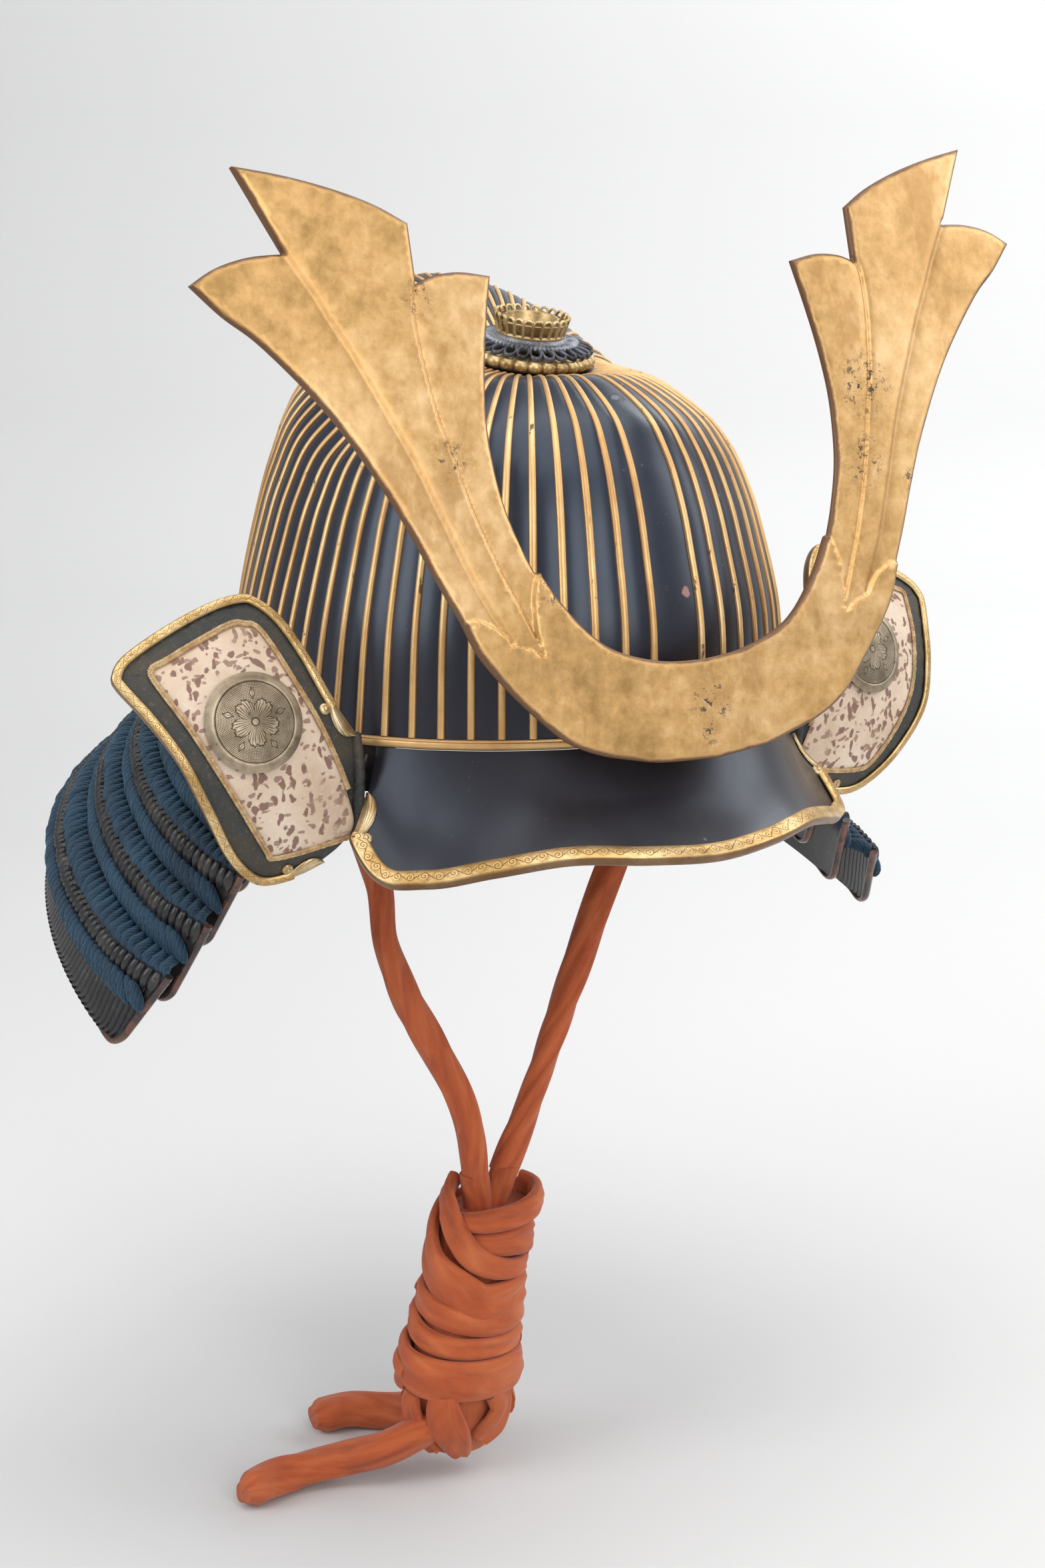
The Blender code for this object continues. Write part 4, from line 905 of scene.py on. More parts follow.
def loopFan(base):
    # a fan of long open loops that droops at its rim
    middle = (crown["loopOuter"] + crown["loopInner"]) / 2
    halfLong = (crown["loopOuter"] - crown["loopInner"]) / 2
    turn = circle(22)
    cut = circle(6)
    flat, high = crown["loopWire"]
    up = np.array([0, 0, 1.0])
    long = np.sign(np.cos(turn)) * np.abs(np.cos(turn)) ** 0.8 * halfLong
    wide = np.sin(turn) * crown["loopHalfWide"] * (1 + 0.14 * long / halfLong)
    droop = base + 0.0016 - 0.0019 * ((long + halfLong) / (2 * halfLong)) ** 1.5
    parts = []
    for angle in circle(crown["loops"]):
        out = np.array([math.sin(angle), -math.cos(angle), 0])
        side = np.array([math.cos(angle), math.sin(angle), 0])
        path = out * (middle + long)[:, None] + side * wide[:, None] + up * droop[:, None]
        across = np.cross(unit(np.roll(path, -1, 0) - np.roll(path, 1, 0)), up)
        ring = path[:, None] + across[:, None] * (np.cos(cut) * flat)[None, :, None]
        ring = ring + up * (np.sin(cut) * high)[None, :, None]
        parts.append((onCrown(ring), {"closeAlong": True, "closeAcross": True}))
    return parts


def archedCollar(foot):
    # a ring of upright open arches between two rings of wire
    arches, rise = crown["collarArches"], crown["collarRise"]
    flat, high = crown["collarWire"]
    half = 0.44 * tau / arches
    turn = np.linspace(0, math.pi, 9)
    cut = circle(7)
    spread = np.concatenate([[half] * 4, half * np.cos(turn), [-half] * 4])
    legs = np.linspace(0, 0.7, 4, endpoint=False), np.linspace(0.7, 0, 4)
    up = np.concatenate([legs[0], 0.72 + 0.28 * np.sin(turn), legs[1]]) * rise
    radius = crown["collarFoot"] + (crown["collarTop"] - crown["collarFoot"]) * up / rise
    parts = []
    for k in range(arches):
        angles = tau * (k + 0.5) / arches + spread
        path = np.stack([radius * np.sin(angles), -radius * np.cos(angles), foot + up], 1)
        outward = unit(path * [1, 1, 0])
        across = np.cross(unit(np.gradient(path, axis=0)), outward)
        ring = path[:, None] + across[:, None] * (np.cos(cut) * flat)[None, :, None]
        ring = ring + outward[:, None] * (np.sin(cut) * high)[None, :, None]
        parts.append(tube(onCrown(ring)))
    cut = circle(10)
    around = circle(120)
    low = crown["collarFoot"], foot + 0.0003, 0.0009
    top = crown["collarTop"] - 0.0004, foot + rise * 0.7, 0.0004
    for radius, height, thick in (low, top):
        reach = radius + thick * np.cos(cut)
        flat = [np.outer(np.sin(around), reach), np.outer(-np.cos(around), reach)]
        ring = np.stack([*flat, np.tile(height + thick * np.sin(cut), (120, 1))], 2)
        parts.append((onCrown(ring), {"closeAlong": True, "closeAcross": True}))
    return parts


def makeCrown():
    gilt = patinaFinish(
        "agedGiltCopper", (0.36, 0.24, 0.1), (0.62, 0.47, 0.25), 0.85, 0.42, 90.0, (0.05, 0.07, 0.06)
    )
    dark = patinaFinish(
        "darkPatinatedCopper", (0.03, 0.032, 0.045), (0.13, 0.135, 0.17), 0.75, 0.45, 120.0, (0.02, 0.02, 0.022)
    )
    grey = patinaFinish(
        "greySilveredCopper", (0.11, 0.12, 0.145), (0.3, 0.31, 0.35), 0.75, 0.4, 150.0, (0.04, 0.04, 0.045)
    )
    turnedPiece("crown_petals", petalSection(), crown["petals"] * 14, gilt, 60, "crown_petal_ring")
    fanLift, washerLift, collarLift = crown["lifts"]
    base = crown["petalHeight"] + fanLift
    fan = pieceOf("crown_loop_fan", loopFan(base), dark)
    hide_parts("crown_openwork_ring")
    low = base + washerLift
    turnedPiece("crown_toothed_washer", washerSection(low), crown["teeth"] * 6, grey, 60, "crown_washer")
    foot = low + collarLift
    collar = pieceOf("crown_arched_collar", archedCollar(foot), gilt)
    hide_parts("crown_collar")
    bore = crown["tube"]
    section = [
        (bore - 0.0009, foot + 0.0066),
        (bore - 0.0006, foot + 0.007),
        (bore + 0.0002, foot + 0.007),
        (bore + 0.0004, foot + 0.0066),
        (bore, foot + 0.006),
        (bore, -0.003),
        (0.015, -0.003),
        (0.015, -0.0042),
        (bore - 0.0012, -0.0042),
    ]
    turnedPiece("crown_inner_tube", section, 96, gilt, 50, "crown_tube")
    print("crown ready")


makeCrown()


visor = {
    "halfAngle": math.radians(60.0),
    "width": 0.25,
    "reach": 0.1587,
    "drop": 0.043,
    "wall": 0.002,
    "lip": 0.0056,
    "metal": 0.0012,
    "topDrop": 0.0048,
    "bend": (0.28, 0.66),  # how far out and down the sheet has its bend
    "cornerFrom": 0.9,
    "cornerCut": 0.2,
    "leafWide": 0.0056,
    "leafFrom": (0.46, 0.95),
    "rimFrom": (0.93, 0.985),
    "rows": [  # station, across, forward, drop
        (0.0, 0.0, 1.0, 0.968), (0.25, 0.242, 0.972, 0.932), (0.5, 0.484, 0.889, 0.911),
        (0.7, 0.68, 0.778, 1.045), (0.85, 0.836, 0.665, 1.17), (0.95, 0.95, 0.57, 1.148),
        (1.0, 1.0, 0.504, 1.0),
    ],
}
visorStations = np.linspace(-1, 1, 401)


def stationCurve(column):
    # a smooth curve through one column of the visor's rows, from the right end to the left
    rows = np.array(visor["rows"])
    both = np.concatenate([rows[:0:-1] * [-1, -1, 1, 1], rows])
    stations, values = both[:, 0], both[:, column]
    slopes = np.gradient(values, stations)
    i = np.clip(np.searchsorted(stations, visorStations) - 1, 0, len(stations) - 2)
    span = stations[i + 1] - stations[i]
    t = (visorStations - stations[i]) / span
    start = (2 * t**3 - 3 * t**2 + 1) * values[i] + (t**3 - 2 * t**2 + t) * span * slopes[i]
    return start + (3 * t**2 - 2 * t**3) * values[i + 1] + (t**3 - t**2) * span * slopes[i + 1]


visorCurves = [stationCurve(k) for k in (1, 2, 3)]


def visorPoint(station, down):
    # station from -1 at the right end to 1 at the left, down from 0 at the bowl to 1 at the lower edge
    station, down = np.broadcast_arrays(np.asarray(station, float), np.asarray(down, float))
    top = mouthPoint(station * visor["halfAngle"])
    top[..., 2] -= visor["topDrop"]
    across, forward, drop = [np.interp(station, visorStations, c) for c in visorCurves]
    low = np.stack([across * visor["width"] / 2, -forward * visor["reach"], -drop * visor["drop"]], -1)
    bend = top + (low - top) * visor["bend"][0]
    bend[..., 2] = top[..., 2] + (low[..., 2] - top[..., 2]) * visor["bend"][1]
    d = down[..., None]
    return top * (1 - d) ** 2 + bend * 2 * d * (1 - d) + low * d * d


def visorDeep(station):
    # how far down the sheet goes, less toward its ends
    start = visor["cornerFrom"]
    turn = np.maximum(0, (np.abs(station) - start) / (1 - start))
    return 1 - visor["cornerCut"] * turn * turn


def visorEdge(places, closer, higher):
    # a path along the visor's edge with its directions into the sheet and off its upper face
    path = np.array([visorPoint(s, d) for s, d in places])
    inward = np.array([visorPoint(s * closer, d * higher) for s, d in places]) - path
    ahead = unit(np.gradient(path, axis=0))
    inward = unit(inward - ahead * np.sum(inward * ahead, 1)[:, None])
    normals = np.cross(ahead, inward)
    return path, inward, np.where((normals[:, 2] < 0)[:, None], -normals, normals)


def engravedFinish(name, middle, size):
    # gilt with engraved scrolls that curl up and down by turns from a wavy stem; across is 0 at the sheet's edge
    gilt = Finish(name, (0.62, 0.43, 0.2), 0.38, 0.8)
    along, across, _ = gilt.split(gilt.flow())
    drift = gilt.noise(70.0, 2.0, 0.5)
    pitch = size * 3.1
    run = along / pitch + drift * 0.5
    place = run.floor()
    hand = (place % 2.0) * 2 - 1
    x = (run - place - 0.5) * pitch
    y = (across - middle) * hand + size * 0.18
    far = (x * x + y * y) ** 0.5
    angle = y.angleOver(x)
    coil = abs((far / (size * 0.62) - angle / tau) % 1.0 - 0.5).rise(0.17, 0.07) * (far < size * 1.02)
    sway = (run * tau / 2).wave() * size * 0.8
    stem = abs(across - middle - sway).rise(size * 0.14, size * 0.05) * (far > size * 0.9)
    sprig = abs((far / (size * 0.3) + angle * 0.9) % 1.0 - 0.5).rise(0.16, 0.06)
    sprig = sprig * (far > size * 1.02) * (far < size * 1.55) * (y > 0.0)
    carved = coil.most(stem).most(sprig * 0.7)
    patch = gilt.noise(60.0, 4.0, 0.6)
    fine = gilt.noise(500.0, 3.0, 0.6)
    tone = gilt.mix(patch.rise(0.35, 0.65), (0.5, 0.31, 0.11), (0.78, 0.56, 0.28))
    tone = gilt.mix(carved * 0.78, tone, (0.1, 0.052, 0.022))
    tone = gilt.mix(fine.rise(0.6, 0.7) * 0.45, tone, (0.13, 0.08, 0.05))
    tone = gilt.mix(across.rise(0.0007, 0.0012) * 0.8, tone, (0.1, 0.045, 0.03))
    gilt.put({"Base Color": tone, "Roughness": fine * 0.2 + patch * 0.15 + 0.22})
    gilt.bump(fine * 0.12 - carved, 0.0003, 0.8)
    return gilt.done()


def rimStrip(name, path, inwards, normals, wall, material, lip):
    # a rolled channel along an edge; inwards and normals point into the sheet and off its upper face
    metal = visor["metal"]
    gap = 0.0004
    low = -wall - gap
    section = [(-lip, gap), (gap, gap), (gap, low), (-lip * 0.6, low), (-lip * 0.6, low - metal)]
    high = wall / 2 + gap + metal
    for turn in np.radians(np.arange(-90, 91, 30)):
        section.append((gap + metal * 0.9 * math.cos(turn), -wall / 2 + high * math.sin(turn)))
    section += [(-lip * 0.45, gap + metal * 1.05), (-lip + 0.0006, gap + metal * 0.9), (-lip, gap + metal * 0.4)]
    outward, raised = np.array(section).T
    grid = path[:, None] - inwards[:, None] * outward[None, :, None] + normals[:, None] * raised[None, :, None]
    return pieceOf(name, [tube(grid, lengthAlong(path), np.append(outward, outward[0]))], material, 45)


def makeVisor():
    engraved = engravedFinish("engravedGilt", -0.0021, 0.0019)
    stations = np.linspace(-1, 1, 161)
    downs = np.linspace(0, 1, 21)
    grid = np.array([visorPoint(s, downs * visorDeep(s)) for s in stations])
    normal = unit(np.cross(np.gradient(grid, axis=0), np.gradient(grid, axis=1)))
    if normal[80, 10, 2] < 0:
        normal = -normal
    under = grid - normal * visor["wall"]
    whole = np.concatenate([grid, under[:, ::-1]], 1)
    plate = pieceOf("visor_sheet", [tube(whole)], lacquerMaterial, 40)
    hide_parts("visor_plate")

    sideDowns = np.linspace(*visor["rimFrom"], 3) * visorDeep(1.0)
    places = [(s, visorDeep(s)) for s in np.linspace(-1, 1, 221)]
    places = [(-1.0, d) for d in sideDowns] + places + [(1.0, d) for d in sideDowns[::-1]]
    rim = rimStrip("visor_engraved_rim", *visorEdge(places, 0.965, 0.9), visor["wall"], engraved, visor["lip"])
    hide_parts("visor_rim")
    print("visor ready")


makeVisor()


crest = {
    "span": 0.3824,
    "rise": 0.229,
    "thickness": 0.0032,
    "lean": math.radians(12.4),
    "roll": math.radians(2.05),
    "wrapRadius": 7.35,
    "forward": 0.154,
    "outline": [  # shares of half the span and of the rise, from the middle of the lower edge outward and back inside
        (0.0, -0.017), (0.128, -0.009), (0.201, 0.004), (0.277, 0.022), (0.345, 0.05), (0.403, 0.094),
        (0.462, 0.148),
        (0.518, 0.212), (0.547, 0.271), (0.581, 0.331), (0.615, 0.397), (0.657, 0.472), (0.707, 0.546),
        (0.753, 0.606),
        (0.807, 0.664), (0.884, 0.734), (0.944, 0.775), (1.0, 0.824), (0.945, 0.848), (0.878, 0.862),
        (0.806, 0.865),
        (0.884, 1.0), (0.786, 0.984), (0.69, 0.962), (0.605, 0.935), (0.539, 0.904), (0.54, 0.808),
        (0.5, 0.82),
        (0.44, 0.824), (0.372, 0.815), (0.395, 0.74), (0.415, 0.662), (0.427, 0.583), (0.426, 0.513),
        (0.416, 0.448),
        (0.392, 0.38), (0.37, 0.334), (0.36, 0.331), (0.318, 0.274), (0.258, 0.216), (0.196, 0.183),
        (0.098, 0.159),
        (0.0, 0.152),
    ],
    "corners": [8, 17, 20, 21, 25, 26, 29, 36, 37],  # outline points where the curve breaks
    "sleeve": [  # edge of the leaf-shaped sleeve at the root of a horn, from its outer to its inner tip
        (0.1054, 0.0611), (0.1015, 0.062), (0.098, 0.0617), (0.0927, 0.0589), (0.088, 0.0546),
        (0.0853, 0.0507),
        (0.0803, 0.0497), (0.0765, 0.0478), (0.0733, 0.045), (0.0741, 0.0505), (0.0746, 0.0558),
        (0.0741, 0.0652),
        (0.0722, 0.0722), (0.0698, 0.0765), (0.0686, 0.0768),
    ],
    "sleeveCorners": [5, 8],
    "sleeveRows": (-0.0014, -0.0007, 0.0, 0.0007, 0.0014),
    "innerRows": (-0.0012, -0.0005, 0.0, 0.0006, 0.0013),
    "outerRows": (-0.002, -0.001, 0.0, 0.001, 0.002),
    "edgeRows": (0.0005, 0.0011),
    "innerGroove": [
        (0.1032, 0.1855), (0.1056, 0.1798), (0.106, 0.1648), (0.1043, 0.1483), (0.1024, 0.1359),
        (0.0991, 0.1236),
        (0.0938, 0.1016), (0.0858, 0.0781), (0.0804, 0.0655), (0.0737, 0.05),
    ],
    "outerGroove": [
        (0.1541, 0.1985), (0.146, 0.185), (0.1392, 0.172), (0.1322, 0.1592), (0.1233, 0.1403),
        (0.1145, 0.1208),
        (0.107, 0.1005), (0.0984, 0.0776), (0.0932, 0.0662), (0.0853, 0.0515),
    ],
    "step": 0.0011,
    "cell": 0.0021,
    "edgeSpacing": 0.0014,
    "lineSpacing": 0.001,
    "closest": 0.0005,
    "backBevel": 0.0006,
    "worn": [  # worn places on the face: place and radius
        ((0.0, -0.152, 0.018), 0.016), ((-0.003, -0.15, 0.006), 0.01), ((0.09, -0.13, 0.105), 0.016),
        ((0.094, -0.124, 0.135), 0.02), ((0.116, -0.131, 0.096), 0.009), ((-0.104, -0.13, 0.115), 0.012),
        ((-0.067, -0.142, 0.066), 0.011), ((0.15, -0.118, 0.15), 0.008), ((-0.11, -0.115, 0.172), 0.01),
    ],
}


def cornered(points, corners, steps):
    # a curve through points that is smooth but for the listed corners
    stops = [0] + sorted(corners) + [len(points) - 1]
    pieces = []
    for first, last in zip(stops, stops[1:]):
        if last > first:
            pieces.append(smoothRows(points[first : last + 1], steps)[:-1])
    return np.concatenate(pieces + [points[-1:]])


def towardLine(points, line):
    # distance from 2D points to a polyline, and on which side of it they lie (positive to its left)
    a, b = line[:-1], line[1:]
    way = b - a
    rel = points[:, None] - a[None]
    t = np.clip((rel * way).sum(2) / (way**2).sum(1), 0, 1)
    off = rel - way[None] * t[..., None]
    gap = np.linalg.norm(off, axis=2)
    nearest = gap.argmin(1)
    pick = np.arange(len(points))
    cross = way[nearest, 0] * rel[pick, nearest, 1] - way[nearest, 1] * rel[pick, nearest, 0]
    return gap[pick, nearest], np.where(cross > 0, 1.0, -1.0)


def besideLine(line, offset):
    ahead = unit(np.gradient(line, axis=0))
    return line + np.stack([-ahead[:, 1], ahead[:, 0]], 1) * offset


def besideLoop(loop, offset):
    ahead = unit(np.roll(loop, -1, 0) - np.roll(loop, 1, 0))
    turned = np.stack([-ahead[:, 1], ahead[:, 0]], 1) * offset
    return np.concatenate([loop + turned, loop - turned])


def inside(points, loop):
    # which 2D points lie inside a closed loop
    x, y = points[:, 0][:, None], points[:, 1][:, None]
    ax, ay = loop[:, 0], loop[:, 1]
    bx, by = np.roll(ax, -1), np.roll(ay, -1)
    crosses = ((ay > y) != (by > y)) & (x < (bx - ax) * (y - ay) / (by - ay + 1e-15) + ax)
    return crosses.sum(1) % 2 == 1


def thinned(points, others, gap):
    # points that keep at least a gap from every other point
    tree = kdtree.KDTree(len(others))
    for i, p in enumerate(others):
        tree.insert((p[0], p[1], 0), i)
    tree.balance()
    return np.array([p for p in points if tree.find((p[0], p[1], 0))[2] > gap])


def tiledSheet(loop, cell, extra):
    # points and triangles that fill a closed loop with cells of one size; the loop's points come first
    low, high = loop.min(0), loop.max(0)
    xs = np.arange(low[0], high[0], cell)
    ys = np.arange(low[1], high[1], cell * 0.866)
    grid = np.array([(x + cell / 2 * (k % 2), y) for k, y in enumerate(ys) for x in xs])
    extra = thinned(extra[inside(extra, loop)], loop, 0.0003)
    fixed = np.concatenate([loop, extra])
    grid = thinned(grid[inside(grid, loop)], fixed, cell * 0.6)
    points = np.concatenate([fixed, grid])
    count = len(loop)
    edges = [(i, (i + 1) % count) for i in range(count)]
    made, _, faces, _, _, _ = geometry.delaunay_2d_cdt([Vector(p) for p in points], edges, [], 1, 1e-7)
    return np.array([tuple(v) for v in made]), faces, count


def evenLoop(loop, spacing):
    # points at an even spacing on a closed polyline, its corners kept
    out = []
    for a, b in zip(loop, np.roll(loop, -1, 0)):
        parts = max(1, round(float(np.linalg.norm(b - a)) / spacing))
        out += [a + (b - a) * k / parts for k in range(parts)]
    return np.array(out)


def crestPlace(points, ahead):
    # world places for crest-plane points, some way ahead of its front face
    u, v = points[:, 0], points[:, 1]
    y = v * math.sin(crest["lean"]) + u * u / (2 * crest["wrapRadius"]) - ahead * math.cos(crest["lean"])
    z = v * math.cos(crest["lean"]) + ahead * math.sin(crest["lean"])
    flat = np.stack([u, y, z], 1)
    turn = np.array(Matrix.Rotation(-crest["roll"], 3, "Y"))
    return flat @ turn.T + [0, -crest["forward"], 0]


def crestFinish():
    gold = Finish("crestGoldLeaf", (0.66, 0.43, 0.17), 0.42, 0.6)
    place = gold.place()
    edge, groove, _ = gold.split(gold.flow())
    patch = gold.noise(14.0, 4.0, 0.6)
    mottle = gold.noise(120.0, 4.0, 0.7)
    grain = gold.noise(900.0, 2.0, 0.6)
    tones = [(0.36, (0.42, 0.245, 0.082)), (0.5, (0.64, 0.38, 0.145)), (0.66, (0.83, 0.56, 0.28))]
    tone = gold.ramp(patch * 0.55 + mottle * 0.45, tones)
    rubbed = gold.noise(26.0, 5.0, 0.7, at=gold.stretched(place, (1.0, 1.0, 0.55)))
    tone = gold.mix(rubbed.rise(0.56, 0.66) * 0.5, tone, (0.44, 0.23, 0.075))
    # painted shade darkens the gold near the horn grooves
    grooveShade = groove.rise(0.0042, 0.0)
    tone = gold.mix(grooveShade * 0.35, tone, (0.34, 0.175, 0.05))
    ragged = edge - mottle * 0.0022
    rim = ragged.rise(0.0006, -0.0006)
    tone = gold.mix(rim * 0.92, tone, (0.1, 0.04, 0.018))
    scratchA = gold.noise(1.0, 3.0, 0.7, at=gold.stretched(place, (90.0, 90.0, 620.0)), warp=0.8)
    scratchB = gold.noise(1.0, 3.0, 0.7, at=gold.stretched(place, (520.0, 520.0, 70.0)), warp=1.2)
    lines = abs(scratchA - 0.5).rise(0.006, 0.0).most(abs(scratchB - 0.5).rise(0.005, 0.0))
    blots = gold.noise(330.0, 4.0, 0.75).rise(0.56, 0.6)
    worn = None
    for centre, radius in crest["worn"]:
        near = gold.awayFrom(centre).rise(radius, radius * 0.2)
        worn = worn.most(near) if worn else near
    anywhere = gold.noise(19.0, 3.0, 0.6).rise(0.6, 0.72) * 0.6
    where = worn.most(anywhere)
    dark = (blots * worn * 0.95).most(lines * where).least(1.0)
    tone = gold.mix(dark, tone, (0.03, 0.02, 0.02))
    metallic = 0.62 - dark * 0.5 - rim * 0.35
    gold.put({"Base Color": tone, "Roughness": mottle * 0.25 + dark * 0.25 + 0.27, "Metallic": metallic})
    gold.bump(grain * 0.05 + mottle * 0.35 - dark * 0.5 + patch * 0.3, 0.0005, 0.5)
    return gold.done()


def crestRelief(points, edge, sleeve, inner, outer):
    # height over the front face, and a flow of edge and groove distances, for points of the crest's plane
    def bump(gap, middle, width):
        return np.exp(-(((gap - middle) / width) ** 2))

    mirrored = points * np.where(points[:, :1] < 0, [-1.0, 1.0], [1.0, 1.0])
    up = mirrored[:, 1]
    gapSleeve, _ = towardLine(mirrored, sleeve)
    gapInner, sideInner = towardLine(mirrored, inner)
    gapOuter, sideOuter = towardLine(mirrored, outer)
    rootLoop = [[0.06, 0.0768], [0.0, 0.05], [-0.02, -0.01], [0.0, -0.01], [0.09, -0.01], [0.13, 0.0611]]
    root = inside(mirrored, np.concatenate([sleeve, rootLoop])) | (mirrored[:, 0] < 0.055) | (up < 0.04)
    sleeveSigned = np.where(root, 1.0, -1.0) * gapSleeve
    innerSigned = sideInner * gapInner
    outerSigned = -sideOuter * gapOuter
    step = crest["step"]
    middleLobe = ease(innerSigned, -0.0003, 0.001) * ease(outerSigned, -0.0012, 0.0026)
    height = step * 0.75 * middleLobe * ease(up, 0.04, 0.052)
    height = height - 0.0003 * bump(innerSigned, -0.0006, 0.0006) - 0.0003 * bump(outerSigned, -0.001, 0.0012)
    height = height * (1 - root)
    cover = ease(sleeveSigned, -0.0002, 0.0012)
    height = height * (1 - cover) + (step * 1.05 + 0.0006 * bump(sleeveSigned, 0.001, 0.0009)) * cover
    height = height - step * 0.9 * ease(up, 0.046, 0.03) * root
    height = height - 0.0009 * (1 - ease(edge, -0.0001, 0.0012))
    return height, np.minimum(gapInner, gapOuter) + 0.01 * root


def makeCrest():
    gold = crestFinish()
    scale = np.array([crest["span"] / 2, crest["rise"]])
    half = cornered(np.array(crest["outline"]) * scale, crest["corners"], 5)
    loop = evenLoop(np.concatenate([half, (half * [-1, 1])[-2:0:-1]]), crest["edgeSpacing"])
    sleeve = cornered(np.array(crest["sleeve"]), crest["sleeveCorners"], 6)
    inner, outer = [smoothRows(np.array(crest[key]), 10) for key in ("innerGroove", "outerGroove")]
    extra = []
    for line, offsets in ((sleeve, "sleeveRows"), (inner, "innerRows"), (outer, "outerRows")):
        for offset in crest[offsets]:
            side = besideLine(line, offset)
            far = lengthAlong(side)
            at = np.arange(0, far[-1], crest["lineSpacing"])
            run = np.stack([np.interp(at, far, column) for column in side.T], 1)
            extra += [run, run * [-1, 1]]
    closest = crest["closest"]
    kept = np.unique((np.concatenate(extra) / closest).round().astype(int), axis=0) * closest
    ring = [besideLoop(loop, offset)[: len(loop)] for offset in crest["edgeRows"]]
    points, faces, count = tiledSheet(loop, crest["cell"], np.concatenate([*ring, kept]))

    edge, _ = towardLine(points, np.concatenate([loop, loop[:1]]))
    edge[:count] = 0.0
    height, groove = crestRelief(points, edge, sleeve, inner, outer)
    bevel = crest["backBevel"]
    backHeight = bevel - crest["thickness"] - bevel * ease(edge, 0.0, 0.0012)
    flow = np.stack([np.concatenate([edge, edge]), np.concatenate([groove, groove + 0.01])], 1)
    skins = crestPlace(points, height), crestPlace(points, backHeight)
    plate = addPiece("crest_gold_plate", twoSkins("crest_gold_plate", *skins, faces, count, flow), gold)
    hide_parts("crest_plate")
    print("crest ready")


makeCrest()


ear = {  # the turned-back plates at both sides of the visor
    "inner": 0.112,
    "width": 0.09,
    "height": 0.11,
    "forward": 0.065,
    "wall": 0.0024,
    "slope": 0.139,
    "lean": 0.17,
    "radiusAcross": 0.2392,
    "radiusUp": 0.0858,
    "outline": [  # shares of the width and height, and how far the wearer's left plate swells beyond them
        (0.0, 0.02, 0.0), (0.1, 0.16, 0.0), (0.17, 0.31, 0.0), (0.24, 0.43, 0.0), (0.32, 0.495, 0.0),
        (0.395, 0.51, 0.0), (0.55, 0.485, 0.0), (0.755, 0.42, 0.0), (0.94, 0.34, 0.0), (1.0, 0.285, 0.0),
        (0.995, 0.245, 0.015), (0.905, 0.137, 0.08), (0.8, -0.008, 0.16), (0.705, -0.183, 0.205),
        (0.6, -0.358, 0.13),
        (0.497, -0.456, 0.07), (0.402, -0.493, 0.03), (0.256, -0.476, 0.0), (0.14, -0.438, 0.0),
        (0.022, -0.344, 0.0),
        (0.008, -0.175, 0.0),
    ],
    "rimmed": 19,
    "panel": [
        (0.061, -0.169, 0.0), (0.18, 0.08, 0.0), (0.261, 0.228, 0.0), (0.349, 0.392, 0.0),
        (0.406, 0.417, 0.0),
        (0.477, 0.417, 0.0), (0.64, 0.367, 0.0), (0.786, 0.315, 0.0), (0.847, 0.292, 0.0),
        (0.839, 0.25, 0.01),
        (0.735, 0.095, 0.1), (0.592, -0.124, 0.17), (0.428, -0.349, 0.12), (0.364, -0.386, 0.05),
        (0.035, -0.343, 0.0),
    ],
    "panelLift": 0.001,
    "rimLip": 0.0027,
    "leafLong": 0.015,
    "leafWide": 0.0052,
    "braid": {
        "spacing": 0.00078, "apart": 0.0005, "long": 0.00086, "wide": 0.00038, "high": 0.00062, "lift": 0.0011,
        "ahead": 0.0002, "coreHalf": (0.00075, 0.0005), "coreLift": 0.0006,
    },
    "seams": [((0.86, 0.29), (1.02, 0.27)), ((0.41, 0.43), (0.44, 0.52))],
    "plateEdge": {"spacing": 0.0016, "cell": 0.0034, "rounded": 0.0008},
    "panelEdge": {"spacing": 0.0014, "cell": 0.003, "rounded": 0.0012},
    "panelFoot": 0.0001,
    "braidAside": 0.0007,
    "rimSpacing": 0.0012,
    "rimUnderLeaf": 0.93,  # how far under a leaf end the rim starts, as a share of the leaf's length
    "fold": {"top": 0.003, "low": -0.0385, "thick": 0.0029, "aside": 0.0008, "ahead": 0.0012},
}
disc = {  # the medallions
    "across": 0.0424,
    "up": 0.0112,
    "lift": 0.0014,
    "profile": [  # millimetres from the middle and up
        (0.05, 2.55), (2.0, 2.53), (4.0, 2.48), (6.0, 2.4), (8.0, 2.28), (10.0, 2.13), (12.0, 1.94),
        (14.0, 1.72),
        (15.6, 1.52), (16.0, 1.5), (16.2, 1.66), (16.5, 1.72), (17.2, 1.58), (18.4, 1.12), (19.2, 0.66),
        (19.7, 0.36),
        (19.6, 0.02), (14.0, 0.0),
    ],
}


def earSurface(x, z):
    across = np.abs(x) - ear["inner"] - ear["width"] * 0.48
    bow = across**2 / (2 * ear["radiusAcross"]) + z**2 / (2 * ear["radiusUp"])
    return -ear["forward"] + ear["slope"] * across + ear["lean"] * z + bow


def earPlace(flat, ahead):
    # world places for points (x, z) on the plate's face, some way ahead of it
    x, z = flat[..., 0], flat[..., 1]
    small = 1e-4
    slopeX = (earSurface(x + small, z) - earSurface(x - small, z)) / (2 * small)
    slopeZ = (earSurface(x, z + small) - earSurface(x, z - small)) / (2 * small)
    normal = unit(np.stack([slopeX, -np.ones_like(x), slopeZ], -1))
    base = np.stack([x, earSurface(x, z), z], -1)
    return base + normal * np.asarray(ahead)[..., None]


